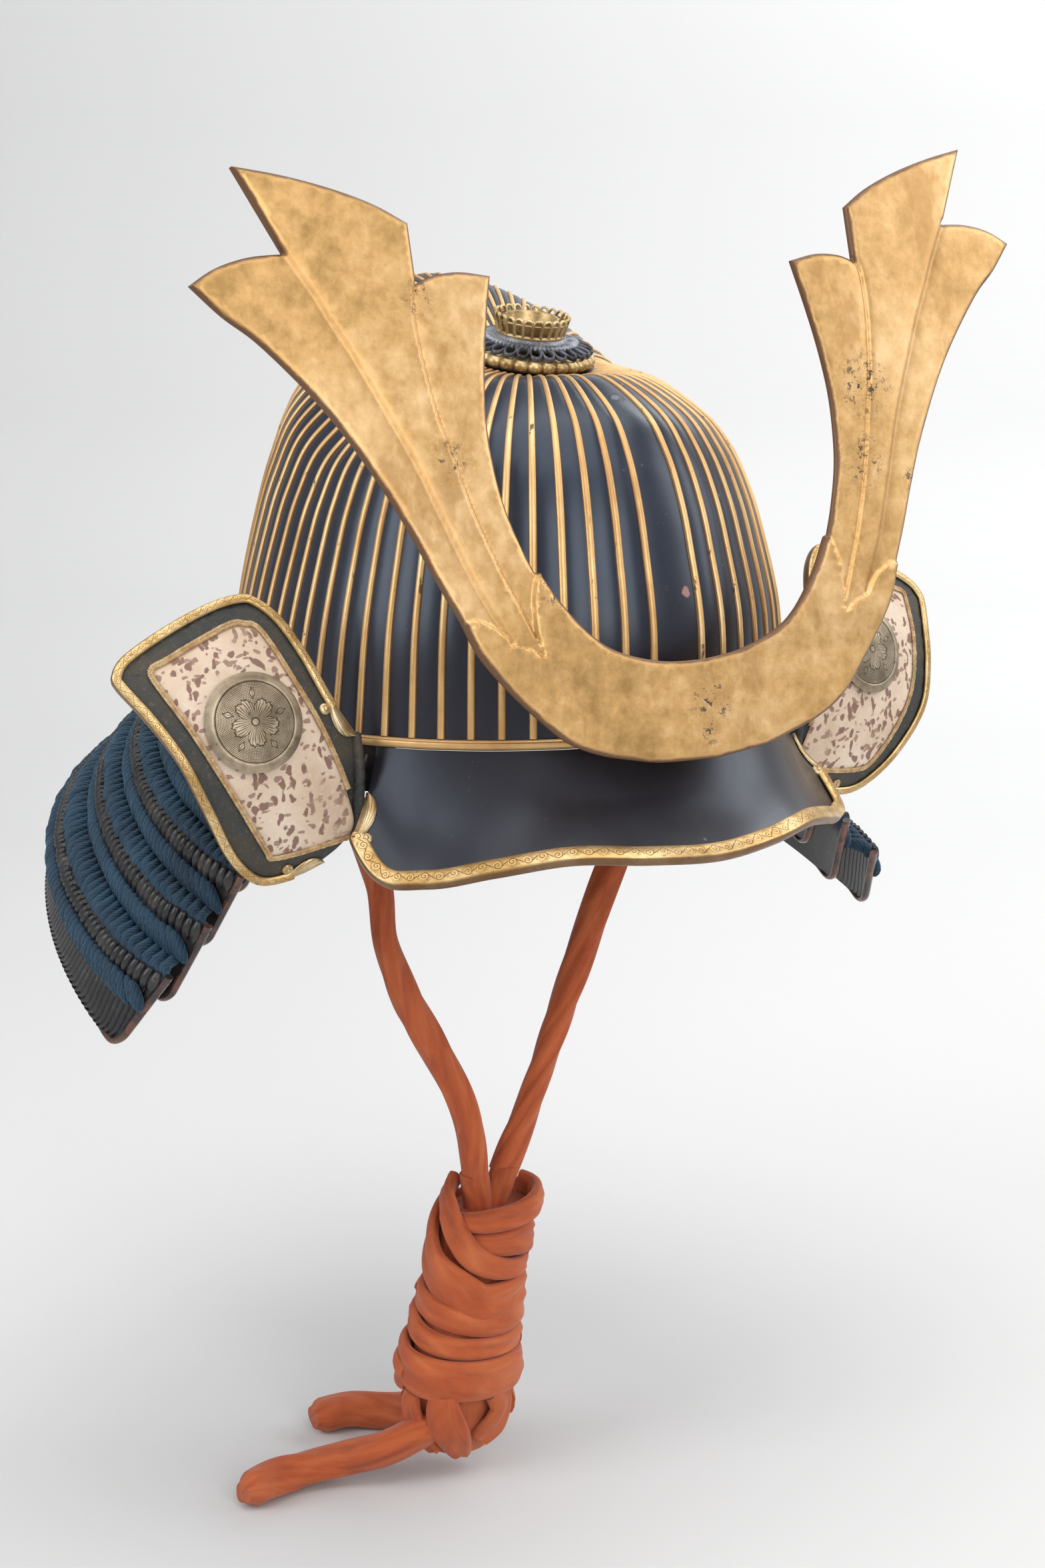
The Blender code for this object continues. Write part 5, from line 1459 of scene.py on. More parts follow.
def earLine(rows, side, closed, steps=10):
    rows = np.array(rows)
    x = ear["inner"] + (rows[:, 0] + rows[:, 2] * (side > 0)) * ear["width"]
    flat = np.stack([side * x, rows[:, 1] * ear["height"]], 1)
    if not closed:
        return smoothRows(flat, steps)
    around = np.concatenate([flat[-2:], flat, flat[:3]])
    return smoothRows(around, steps)[2 * steps : -2 * steps - 1]


def inwardFrom(line, side):
    ahead = unit(np.gradient(line, axis=0))
    return np.stack([-ahead[:, 1], ahead[:, 0]], 1) * -side


def layeredSheet(name, outline, side, make, low, high, material, seams):
    # a sheet over the plate's face between two heights, its upper edge rounded; flow: edge and seam distances
    loop = evenLoop(earLine(outline, side, True), make["spacing"])
    cell, roundEdge = make["cell"], make["rounded"]
    points, faces, count = tiledSheet(loop, cell, besideLoop(loop, roundEdge * 0.45))
    edge, _ = towardLine(points, np.concatenate([loop, loop[:1]]))
    edge[:count] = 0.0
    top = high - (high - low) * 0.8 * (1 - ease(edge, -roundEdge * 0.3, roundEdge))
    seam = np.full(len(points), 0.05)
    for line in seams:
        gap, _ = towardLine(points, np.array(line))
        seam = np.minimum(seam, gap)
    top = top - 0.0004 * np.exp(-((seam / 0.0006) ** 2))
    skins = earPlace(points, top), earPlace(points, np.full(len(points), low))
    flow = np.stack([np.tile(edge, 2), np.tile(seam, 2)], 1)
    return addPiece(name, twoSkins(name, *skins, faces, count, flow), material, 50)


def borderFinish():
    hide = Finish("darkBorderLeather", (0.045, 0.05, 0.04), 0.7)
    seam = hide.split(hide.flow())[1]
    patch = hide.noise(34.0, 4.0, 0.65)
    grain = hide.noise(520.0, 4.0, 0.7)
    pores = hide.cells(900.0)
    tones = [(0.32, (0.014, 0.018, 0.018)), (0.5, (0.03, 0.031, 0.028)), (0.7, (0.064, 0.048, 0.03))]
    tone = hide.ramp(patch, tones)
    tone = hide.mix(grain.rise(0.54, 0.68) * 0.55, tone, (0.12, 0.088, 0.05))
    tone = hide.mix(seam.rise(0.0006, 0.0001) * 0.9, tone, (0.006, 0.006, 0.006))
    hide.put({"Base Color": tone, "Roughness": patch * 0.2 + 0.52})
    hide.bump(grain * 0.7 + pores * 0.3 + patch * 0.6, 0.0005, 0.7)
    return hide.done()


def paleFinish():
    hide = Finish("paleStencilledLeather", (0.66, 0.47, 0.36), 0.8)
    place = hide.place()
    patch = hide.noise(30.0, 4.0, 0.6)
    grain = hide.noise(600.0, 3.0, 0.65)
    drift = hide.node("ShaderNodeTexNoise", (), {"Vector": place, "Scale": 95.0, "Detail": 2.0}, 1)
    sockets = {0: drift, 1: (0.011, 0.011, 0.011), 2: place}
    bent = hide.node("ShaderNodeVectorMath", {"operation": "MULTIPLY_ADD"}, sockets)
    tall = hide.cells(260.0, at=hide.stretched(bent, (1.0, 1.0, 0.5)))
    wide = hide.cells(290.0, at=hide.stretched(bent, (0.55, 1.0, 1.0)))
    ragged = hide.noise(520.0, 3.0, 0.7) * 0.34
    printed = (tall + ragged).rise(0.57, 0.47).most((wide + ragged).rise(0.51, 0.42) * 0.8)
    kept = patch.rise(0.28, 0.46)
    tone = hide.ramp(patch, [(0.3, (0.52, 0.38, 0.27)), (0.5, (0.63, 0.49, 0.37)), (0.72, (0.71, 0.6, 0.49))])
    tone = hide.mix(grain.rise(0.55, 0.7) * 0.35, tone, (0.8, 0.68, 0.56))
    tone = hide.mix(printed * (kept * 0.75 + 0.1), tone, (0.155, 0.062, 0.045))
    edge = hide.split(hide.flow())[0]
    tone = hide.mix(edge.rise(0.0016, 0.0) * 0.5, tone, (0.34, 0.2, 0.12))
    hide.put({"Base Color": tone, "Roughness": grain * 0.15 + 0.72})
    hide.bump(grain * 0.8 + patch * 0.6 - printed * 0.15, 0.0004, 0.6)
    return hide.done()


def braidFinish():
    silk = Finish("braidSilk", (0.5, 0.3, 0.11), 0.6, fixed={"Sheen Weight": 0.3, "Sheen Roughness": 0.4})
    along, around, _ = silk.split(silk.flow())
    fibre = (along * tau * 300 + around * tau * 2600).wave() * 0.5 + 0.5
    patch = silk.noise(300.0, 3.0, 0.6)
    tint = silk.noise(45.0, 2.0, 0.5)
    tone = silk.ramp(patch, [(0.32, (0.52, 0.29, 0.105)), (0.5, (0.72, 0.47, 0.21)), (0.68, (0.86, 0.66, 0.38))])
    tone = silk.mix(tint.rise(0.56, 0.68) * 0.5, tone, (0.5, 0.16, 0.06))
    tone = silk.mix(tint.rise(0.42, 0.34) * 0.4, tone, (0.34, 0.34, 0.16))
    tone = silk.mix(fibre.rise(0.4, 0.0) * 0.5, tone, (0.12, 0.055, 0.018))
    silk.put({"Base Color": tone, "Roughness": patch * 0.2 + 0.5})
    silk.bump(fibre, 0.0002, 0.7)
    return silk.done()


def fanFinish():
    gilt = Finish("leafEndGilt", (0.6, 0.45, 0.24), 0.36, 0.8)
    along, across, _ = gilt.split(gilt.flow())
    ribs = abs(((across.angleOver(along + 0.004) * 13) % 1.0) - 0.5).rise(0.1, 0.02)
    patch = gilt.noise(80.0, 4.0, 0.6)
    tone = gilt.mix(patch.rise(0.35, 0.65), (0.4, 0.27, 0.12), (0.72, 0.58, 0.36))
    tone = gilt.mix(ribs * 0.6, tone, (0.12, 0.07, 0.035))
    gilt.put({"Base Color": tone, "Roughness": patch * 0.25 + 0.22})
    gilt.bump(patch * 0.2 - ribs, 0.00025, 0.8)
    return gilt.done()


def medallionFinish():
    brass = Finish("medallionBrass", (0.25, 0.21, 0.13), 0.42, 0.85)
    far, turn, _ = brass.split(brass.flow())  # millimetres from the middle, and turns round it
    petal = abs(((turn * 5) % 1.0) - 0.5) * 2  # 0 at a petal's middle, 1 between petals
    notch = petal.rise(0.2, 0.0)
    margin = 9.6 - petal**3.0 * 4.6 - notch * 0.9 + (turn * tau * 35).wave() * 0.22
    outline = abs(far - margin).rise(0.42, 0.16)
    core = abs(far - 1.5).rise(0.3, 0.08)
    within = (far < margin) * (far > 1.7)
    veins = abs((((petal * 4.2 + far * 0.1) % 1.0)) - 0.5).rise(0.22, 0.06) * within * far.rise(9.2, 7.0)
    between = abs(((turn * 5 + 0.5) % 1.0) - 0.5) * far * 1.2566
    leafEdge = 1.15 - abs(far - 11.2) * 0.52
    leaf = abs(between - leafEdge).rise(0.24, 0.08) * (far > 8.6) * (far < 13.8)
    rib = between.rise(0.16, 0.04) * (far > 9.0) * (far < 13.2)
    row = (far / 0.62).floor()
    spot = ((turn * row * 6.0) % 1.0) - 0.5
    step = ((far / 0.62) % 1.0) - 0.5
    dots = (spot * spot + step * step).rise(0.16, 0.05)
    ground = (far > margin) * (between > leafEdge) * (far < 15.3)
    ring = abs(far - 15.8).rise(0.26, 0.08)
    cut = outline.most(core).most(veins * 0.8).most(leaf).most(rib * 0.7).most(ring).most(dots * ground * 0.85)
    cut = cut * (far < 16.2)
    patch = brass.noise(90.0, 4.0, 0.6)
    fine = brass.noise(700.0, 3.0, 0.6)
    spots = brass.noise(160.0, 3.0, 0.6).rise(0.68, 0.73)
    tone = brass.mix(patch.rise(0.35, 0.65), (0.23, 0.18, 0.122), (0.42, 0.34, 0.245))
    tone = brass.mix(cut * 0.85, tone, (0.03, 0.024, 0.015))
    tone = brass.mix(spots * 0.7, tone, (0.045, 0.05, 0.06))
    brass.put({"Base Color": tone, "Roughness": fine * 0.2 + patch * 0.15 + 0.26})
    brass.bump(fine * 0.06 - cut, 0.0005, 1.0)
    return brass.done()


def leafEnd(name, path, inward, normal, wall, material, long, wide):
    # a leaf-shaped end plate along an edge, from its tip to its root, with a lug and a rivet at the root
    far = lengthAlong(path)
    share = np.clip(far / long, 0, 1)
    width = wide * (0.1 + 0.9 * np.sin(np.pi * share**0.75 * 0.86) ** 0.8)
    across = np.linspace(0, 1, 9)
    dome = 0.0005 + 0.001 * np.sin(np.pi * across) ** 0.6
    top = path[:, None] + inward[:, None] * (across[None, :, None] * width[:, None, None])
    top = top + normal[:, None] * dome[None, :, None]
    turned = (0.0007, 0.0002), (0.001, -wall * 0.5), (0.0006, -wall - 0.0004)
    turned += (-0.001, -wall - 0.0006), (-0.001, -wall + 0.0002)
    rolled = [path - inward * out + normal * up for out, up in turned]
    under = path[:, None] + inward[:, None] * (width * 0.85)[:, None, None] + normal[:, None] * 0.0002
    grid = np.concatenate([top[:, ::-1], np.stack(rolled, 1), under], 1)
    flow = np.zeros((*grid.shape[:2], 2))
    flow[..., 0] = (far[-1] - far)[:, None]
    flow[:, :9, 1] = (across[::-1][None] - 0.5) * width[:, None]
    flow = np.concatenate([flow, flow[:, :1]], 1)
    parts = [(grid, {"closeAcross": True, "caps": True, "flow": flow})]

    centre = path[-1] + inward[-1] * wide * 0.86
    ahead = unit(np.cross(normal[-1], inward[-1]))
    turn = circle(24)
    for radius, base, high in ((wide * 0.46, 0.0003, 0.001), (wide * 0.2, 0.0012, 0.0009)):
        rings = []
        for step in np.linspace(0, math.pi / 2, 7):
            r = radius * math.cos(step * 0.96)
            ring = np.outer(np.cos(turn) * r, inward[-1]) + np.outer(np.sin(turn) * r, ahead)
            rings.append(centre + ring + normal[-1] * (base + high * math.sin(step)))
        rings.insert(0, rings[0] - normal[-1] * 0.0004)
        parts.append(tube(rings, np.full(8, 0.5), np.zeros(25)))
    return pieceOf(name, parts, material, 50)


def herringbone(flat, side):
    # a plaited cord laid on the ear plate: two rows of slanted stitches over a core
    braid = ear["braid"]
    line = evenLine(flat, braid["spacing"])
    inward = inwardFrom(line, side)
    ahead = unit(np.gradient(line, axis=0))
    turn = circle(7)
    t = np.linspace(-1, 1, 6)
    swell = np.sqrt(np.maximum(0.06, 1 - t**2))
    rng = np.random.default_rng(21 if side > 0 else 22)
    parts = []
    for row in (-1, 1):
        for point, inner, forward in zip(line[1:-1], inward[1:-1], ahead[1:-1]):
            jitter = rng.uniform(-1, 1, 3)
            middle = point + inner * row * braid["apart"] + forward * (braid["ahead"] * row)
            way = forward * 0.78 - inner * row * 0.66
            half = braid["long"] * (1 + 0.08 * jitter[0])
            beside = np.array([-way[1], way[0]]) * (swell * braid["wide"])[:, None]
            path = middle + way * (t * half)[:, None]
            points = path[:, None] + np.cos(turn)[None, :, None] * beside[:, None]
            height = braid["lift"] + np.sin(turn)[None] * (swell * braid["high"])[:, None] + 0.00014 * jitter[1]
            far = (t + 1) * half + rng.uniform(0, 1)
            parts.append(tube(earPlace(points, height), far, np.linspace(0, 0.0034, 8)))
    wide, high = braid["coreHalf"]
    core = line[:, None] + inward[:, None] * (np.cos(turn) * wide)[None, :, None]
    ring = earPlace(core, braid["coreLift"] + np.sin(turn)[None] * high + 0 * line[:, :1])
    parts.append(tube(ring, lengthAlong(line), np.linspace(0, 0.005, 8)))
    return parts


def discParts(side):
    # a flat-backed turned disc that stands on the plate; its flow holds millimetres from the middle, and turns
    turns = np.arange(96) / 96
    centre = np.array([[side * (ear["inner"] + disc["across"]), disc["up"]]])
    foot = earPlace(centre, np.zeros(1))[0]
    normal = unit(earPlace(centre, np.array([0.001]))[0] - foot)
    rightward = unit(earPlace(centre + [[0.001, 0]], np.zeros(1))[0] - foot)
    upward = np.cross(rightward, normal)
    upward = upward * np.sign(upward[2])
    radial = np.outer(np.sin(turns * tau), rightward) + np.outer(np.cos(turns * tau), upward)
    rows = [foot + 0.001 * r * radial + normal * (disc["lift"] + 0.001 * h) for r, h in disc["profile"]]
    flow = flowOver(np.append(turns, 1.0), [r for r, h in disc["profile"]])[..., ::-1]
    return [(np.array(rows).transpose(1, 0, 2), {"closeAlong": True, "flow": flow})]


def foldParts(side):
    # the rolled leather edge where the plate turns back beside the visor
    fold = ear["fold"]
    count = 24
    z = np.linspace(fold["top"], fold["low"], count)
    x = np.full(count, side * (ear["inner"] - fold["aside"]))
    path = np.stack([x, earSurface(x, z) + fold["ahead"], z], 1)
    turn = circle(12)
    taper = 0.55 + 0.45 * np.sin(np.pi * np.linspace(0.08, 0.95, count)) ** 0.5
    thin = fold["thick"] * taper * (1 + 0.16 * wander(5 + side)(z * 400))
    section = np.stack([np.cos(turn) * 0.9, np.sin(turn) * 1.3, 0 * turn], 1)
    ring = path[:, None] + thin[:, None, None] * section[None]
    return [tube(ring, lengthAlong(path), np.linspace(0.01, 0.03, 13))]


def makeEars():
    border, pale, silk, fan, brass = borderFinish(), paleFinish(), braidFinish(), fanFinish(), medallionFinish()
    engraved = engravedFinish("engravedEarRim", -0.0007, 0.0012)
    for side, word in ((-1, "right"), (1, "left")):
        seams = []
        for seam in ear["seams"]:
            seams.append([(side * (ear["inner"] + x * ear["width"]), z * ear["height"]) for x, z in seam])
        make = ear["plateEdge"]
        plate = layeredSheet(f"ear_{word}_leather", ear["outline"], side, make, -ear["wall"], 0.0, border, seams)
        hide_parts(f"turnback_{word}_plate")
        make, foot, top = ear["panelEdge"], ear["panelFoot"], ear["panelLift"]
        panel = layeredSheet(f"ear_{word}_panel", ear["panel"], side, make, foot, top, pale, ())
        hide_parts(f"turnback_{word}_panel")

        line = evenLine(earLine(ear["panel"], side, False), 0.001)
        beside = line - inwardFrom(line, side) * ear["braidAside"]
        braid = pieceOf(f"ear_{word}_braid", herringbone(beside, side), silk)
        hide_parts(f"turnback_{word}_braid")

        line = evenLine(earLine(ear["outline"][: ear["rimmed"]], side, False), ear["rimSpacing"])
        inward = inwardFrom(line, side)
        none = np.zeros(len(line))
        base = earPlace(line, none)
        edge = base, unit(earPlace(line + inward * 0.001, none) - base), unit(earPlace(line, none + 0.001) - base)
        far = lengthAlong(base)
        long = ear["leafLong"]
        under = long * ear["rimUnderLeaf"]
        part = slice(np.searchsorted(far, under), np.searchsorted(far, far[-1] - under) + 1)
        rim = rimStrip(f"ear_{word}_rim", *[way[part] for way in edge], ear["wall"], engraved, ear["rimLip"])
        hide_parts(f"turnback_{word}_rim")
        count = np.searchsorted(far, long) + 1
        for end, run in (("upper", slice(0, count)), ("lower", slice(len(far) - 1, len(far) - 1 - count, -1))):
            ways = [way[run] for way in edge]
            piece = leafEnd(f"ear_{word}_leaf_{end}", *ways, ear["wall"], fan, long, ear["leafWide"])

        medallion = pieceOf(f"ear_{word}_medallion", discParts(side), brass, 35)
        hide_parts(f"turnback_{word}_medallion")
        fold = pieceOf(f"ear_{word}_fold", foldParts(side), border)
    print("ear plates ready")
    return fan


def makeVisorEnds(fan):
    for side, word in ((-1, "right"), (1, "left")):
        places = [(side * 1.0, d) for d in np.linspace(*visor["leafFrom"], 18) * visorDeep(1.0)]
        path, inward, normal = visorEdge(places, 0.96, 1.0)
        long = lengthAlong(path)[-1]
        piece = leafEnd(f"visor_leaf_{word}", path, inward, normal, visor["wall"], fan, long, visor["leafWide"])


makeVisorEnds(makeEars())


waist = {
    "start": math.radians(57),
    "tuck": 0.0026,
    "tuckTurns": (math.radians(59), math.radians(66)),
    "section": [(0.0, -0.0048), (0.0, -0.0238), (-0.002, -0.0238), (-0.002, -0.0048)],  # out and up
}


def makeWaist():
    wall = Finish("waistLacquer", (0.02, 0.019, 0.021), 0.4)
    patch = wall.noise(80.0, 4.0, 0.6)
    tone = wall.mix(patch.rise(0.4, 0.65), (0.01, 0.01, 0.013), (0.04, 0.032, 0.03))
    wall.put({"Base Color": tone, "Roughness": patch * 0.3 + 0.2})
    wall.bump(patch, 0.0003, 0.4)
    angles = np.linspace(waist["start"], tau - waist["start"], 200)
    bend = np.minimum(angles, tau - angles)
    tuck = -waist["tuck"] * (1 - ease(bend, *waist["tuckTurns"]))
    outward = np.stack([np.sin(angles), -np.cos(angles), 0 * angles], 1)
    rows = []
    for inset, up in waist["section"]:
        rows.append(mouthPoint(angles) + outward * (inset + tuck)[:, None] + [0, 0, up])
    plate = pieceOf("waist_strip", [tube(np.stack(rows, 1))], wall.done(), 40)
    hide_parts("waist_plate")

    iron = Finish("darkIron", (0.05, 0.045, 0.045), 0.5, 0.8)
    rust = iron.noise(150.0, 4.0, 0.65)
    tone = iron.mix(rust.rise(0.4, 0.65), (0.025, 0.024, 0.026), (0.1, 0.055, 0.035))
    iron.put({"Base Color": tone, "Roughness": rust * 0.4 + 0.28})
    iron.bump(rust, 0.0003, 0.5)
    metal = iron.done()
    for name in ("cord_ring_left", "cord_ring_right", "crest_socket"):
        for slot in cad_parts[name].material_slots:
            slot.material = metal
    print("waist ready")


makeWaist()


guard = {  # five laced lames
    "wall": 0.0022,
    "spread": 0.14,
    "headHeight": 0.008,
    "headPitch": 0.0042,
    "ridge": 0.0034,
    "lacePitch": 0.0038,
    "laceDrop": 0.0098,
    "loopPitch": 0.0052,
    "cornerRadius": 0.0065,
    "slope": 0.2,  # how far the last lame's ridges lean, metres along for each metre down
    "ridgeHigh": 0.0007,
    "columns": 260,
    "ridgeSpacing": 0.0008,  # of the last lame's columns
    "heads": {"slant": 0.0018, "width": 0.0046, "height": 0.0052, "lift": 0.0008},
    "lacing": {"slant": 0.014, "width": 0.0046, "height": 0.0052, "lift": 0.002, "bulge": 0.001, "sides": 9},
    "under": {"slant": 0.014, "width": 0.003, "height": 0.005, "lift": 0.0016, "bulge": 0.0008, "sides": 7},
    "edgeHalf": (0.0014, 0.0021),
    "loopHalf": (0.0031, 0.0028),
    "loopLean": 0.0036,
    "loopReach": [(0.0, 0.0), (0.25, 0.0042), (0.55, 0.0054), (0.82, 0.0036), (1.0, 0.0)],  # share and outward
    "loopDrift": 0.0008,
    "lames": [  # upper then lower edge: half width, back, drop at the front, drop at the back, front
        ((0.1195, 0.1312, 0.007, 0.007, 0.064), (0.1335, 0.16, 0.046, 0.006, 0.0601)),
        ((0.142, 0.154, 0.036, -0.0045, 0.04), (0.144, 0.18, 0.069, 0.01, 0.02)),
        ((0.1575, 0.175, 0.056, -0.001, 0.04), (0.1605, 0.193, 0.089, 0.023, 0.02)),
        ((0.1735, 0.191, 0.0745, 0.0115, 0.04), (0.178, 0.2045, 0.1095, 0.04, 0.02)),
        ((0.192, 0.204, 0.0925, 0.0275, 0.04), (0.1995, 0.222, 0.124, 0.043, 0.0185)),
    ],
}


def lameEdge(edge, share):
    half, back, frontDrop, backDrop, front = edge
    spread = max(guard["spread"], front * 1.6)
    angle = share * (math.pi / 2 + math.asin(front / spread))
    depth = np.where(np.cos(angle) > 0, back, spread)
    y = depth * np.cos(angle)
    behind = (y + front) / (back + front)
    return np.stack([half * np.sin(angle), y, -(frontDrop + (backDrop - frontDrop) * behind)], -1)


def lamePoints(lame, shares, downs, outs):
    # places on a lame's outer face for shares from -1 to 1 round it, downs from 0 to 1 and outward distances
    shares, downs, outs = np.broadcast_arrays(np.asarray(shares, float), downs, outs)
    top, low = lameEdge(lame[0], shares), lameEdge(lame[1], shares)
    step = 0.01
    after = lameEdge(lame[0], shares + step) + lameEdge(lame[1], shares + step)
    before = lameEdge(lame[0], shares - step) + lameEdge(lame[1], shares - step)
    normal = unit(np.cross(after - before, low - top))
    return top + (low - top) * downs[..., None] + normal * outs[..., None]


def lameLength(lame, down):
    shares = np.linspace(-1, 1, 801)
    path = lamePoints(lame, shares, down, 0.0)
    return shares, lengthAlong(path)


def lameHeight(lame):
    return float(np.linalg.norm(lameEdge(lame[1], 0.9) - lameEdge(lame[0], 0.9)))


def cornerCut(lame, down, length):
    # how far a lame's rounded lower front corner draws its end in, as a share
    radius = guard["cornerRadius"]
    t = np.clip(1 - (1 - down) * lameHeight(lame) / radius, 0, 1)
    return radius * (1 - np.sqrt(1 - t * t)) * 2 / length


def scaleFinish(name, ridge=0.0):
    # dark lacquer over scales; with a ridge spacing, also narrow grooves where the flow's along passes each ridge,
    # darkened with painted shade
    scale = Finish(name, (0.025, 0.023, 0.024), 0.42)
    patch = scale.noise(60.0, 4.0, 0.6)
    fine = scale.noise(700.0, 3.0, 0.6)
    tones = [(0.3, (0.007, 0.008, 0.01)), (0.55, (0.022, 0.021, 0.022)), (0.75, (0.06, 0.05, 0.043))]
    tone = scale.ramp(patch, tones)
    worn = fine.rise(0.6, 0.7) * patch.rise(0.5, 0.66)
    tone = scale.mix(worn * 0.7, tone, (0.22, 0.15, 0.11))
    height = fine * 0.3 + patch * 0.6
    if ridge:
        along = scale.split(scale.flow())[0]
        # painted shade: the ridge grooves are darkened in colour as well as dented
        groove = (abs((along / ridge) % 1.0 - 0.5) * 2).rise(0.45, 0.98)
        tone = scale.mix(groove * 0.85, tone, (0.002, 0.002, 0.003))
        height = height - groove * 1.4
    scale.put({"Base Color": tone, "Roughness": patch * 0.25 + fine * 0.15 + 0.13})
    scale.bump(height, 0.0006, 0.7)
    return scale.done()


def edgeFinish():
    edge = Finish("brownEdgeLacquer", (0.07, 0.025, 0.015), 0.3, fixed={"Coat Weight": 0.4})
    patch = edge.noise(90.0, 4.0, 0.6)
    tone = edge.mix(patch.rise(0.4, 0.65), (0.02, 0.012, 0.012), (0.135, 0.048, 0.026))
    edge.put({"Base Color": tone, "Roughness": patch * 0.3 + 0.12})
    edge.bump(patch, 0.0003, 0.4)
    return edge.done()


def laceFinish():
    sheen = {"Sheen Weight": 0.25, "Sheen Roughness": 0.4, "Sheen Tint": (0.35, 0.6, 0.8)}
    lace = Finish("blueLacing", (0.008, 0.034, 0.066), 0.85, fixed=sheen)
    along, around, _ = lace.split(lace.flow())
    ply = ((along * tau * 330 + around * tau * 520).wave()) * 0.5 + 0.5
    fuzz = lace.noise(900.0, 3.0, 0.65)
    patch = lace.noise(30.0, 3.0, 0.6)
    tones = [(0.3, (0.003, 0.017, 0.034)), (0.5, (0.006, 0.031, 0.06)), (0.72, (0.012, 0.052, 0.094))]
    tone = lace.ramp(patch, tones)
    tone = lace.mix(fuzz.rise(0.55, 0.75) * 0.4, tone, (0.02, 0.085, 0.142))
    tone = lace.mix(ply.rise(0.35, 0.0) * 0.7, tone, (0.002, 0.008, 0.022))
    lace.put({"Base Color": tone, "Roughness": fuzz * 0.2 + 0.72})
    lace.bump(ply * 0.8 + fuzz * 0.25, 0.0003, 0.8)
    return lace.done()


def ovalRings(path, side, up, widths, heights, sides):
    # oval rings along a short path; side and up are directions, widths and heights halves of the ovals
    turn = circle(sides)
    across = np.cos(turn)[None, :, None] * (side * widths[:, None])[:, None]
    high = np.sin(turn)[None, :, None] * (up * heights[:, None])[:, None]
    return path[:, None] + across + high


def bundleRow(lame, centres, downTop, downLow, seed, slant, width, height, lift, bulge=0.0, sides=8, steps=9):
    # one bundle for each centre share, lying on the lame from downTop to downLow, leaning by slant metres
    rng = np.random.default_rng(seed)
    shares, far = lameLength(lame, (downTop + downLow) / 2)
    around = np.linspace(0, math.pi * width, sides + 1)
    t = np.linspace(0, 1, steps)
    dome = 0.35 + 0.65 * np.sin(np.pi * np.clip(t, 0.02, 0.98)) ** 0.6
    parts = []
    for centre in centres:
        jitter = rng.uniform(-1, 1, 6)
        lean = slant if centre > 0 else -slant
        at = np.interp(centre, shares, far) + lean * (t - 0.5) + jitter[0] * width * 0.08
        line = np.interp(np.clip(at, 0, far[-1]), far, shares)
        down = downTop + (downLow - downTop) * t + jitter[1] * 0.012
        out = lift + bulge * np.sin(np.pi * t) * (1 + 0.25 * jitter[2])
        path = lamePoints(lame, line, down, out)
        raised = unit(lamePoints(lame, line, down, out + 0.001) - path)
        across = unit(np.cross(np.gradient(path, axis=0), raised))
        wide = width / 2 * dome * (1 + 0.1 * jitter[3])
        high = height / 2 * dome * (1 + 0.12 * jitter[4])
        ring = ovalRings(path, across, raised, wide, high, sides)
        parts.append(tube(ring, lengthAlong(path) + rng.uniform(0, 1), around))
    return parts


def lameBody(lame, last):
    # a lame with rounded lower front corners; the last one has slanted ridges below its heads
    tall = lameHeight(lame)
    head = guard["headHeight"] / tall
    corner = guard["cornerRadius"] / tall
    shares, far = lameLength(lame, 0.5)
    at = np.linspace(0, far[-1], int(far[-1] / guard["ridgeSpacing"]) if last else guard["columns"])
    line = np.interp(at, far, shares)
    lean = np.sign(line) * tall * guard["slope"]
    rounded = 1 - corner * np.array([0.75, 0.5, 0.3, 0.15, 0.06, 0.0])
    levels = np.concatenate([[0.0], np.linspace(head * 0.5, 1 - corner, 14 if last else 7), rounded])
    grid = []
    for level in levels:
        out = 0.0
        if last and level > head:
            wave = np.abs(np.sin(np.pi * (at - lean * level) / guard["ridge"]))
            out = guard["ridgeHigh"] * (wave**0.7 - 0.6)
        grid.append(lamePoints(lame, line * (1 - cornerCut(lame, level, far[-1])), level, out))
    for level in levels[::-2]:
        grid.append(lamePoints(lame, line * (1 - cornerCut(lame, level, far[-1])), level, -guard["wall"]))
    downs = np.concatenate([levels, levels[::-2], levels[:1]])
    flow = flowOver(at, downs * tall)
    flow[..., 0] -= lean[:, None] * downs
    return [(np.array(grid).transpose(1, 0, 2), {"closeAcross": True, "caps": True, "flow": flow})]


def lameEnds(lame):
    # rounded brown edges at both front ends, round the corners and a little way along below
    corner = guard["cornerRadius"] / lameHeight(lame)
    length = lameLength(lame, 0.5)[1][-1]
    bend = 1 - corner * np.array([0.85, 0.65, 0.45, 0.28, 0.14, 0.05, 0.0])
    down = np.concatenate([np.linspace(-0.02, 1 - corner, 16), bend, np.full(8, 1.0)])
    share = 1 - cornerCut(lame, down, length)
    share[-8:] -= np.linspace(0.006, 0.05, 8)
    parts = []
    for sign in (-1, 1):
        path = smoothRows(lamePoints(lame, sign * share, down, -guard["wall"] / 2), 2)
        ahead = unit(np.gradient(path, axis=0))
        raised = unit(lamePoints(lame, sign * 0.99, 0.5, 0.001) - lamePoints(lame, sign * 0.99, 0.5, 0.0))
        raised = unit(raised - ahead * (ahead @ raised)[:, None])
        thin = 1 - 0.6 * ease(np.linspace(0, 1, len(path)), 0.75, 1.0)
        flat, high = guard["edgeHalf"]
        parts.append(tube(ovalRings(path, np.cross(ahead, raised), raised, flat * thin, high * thin, 10)))
    return parts


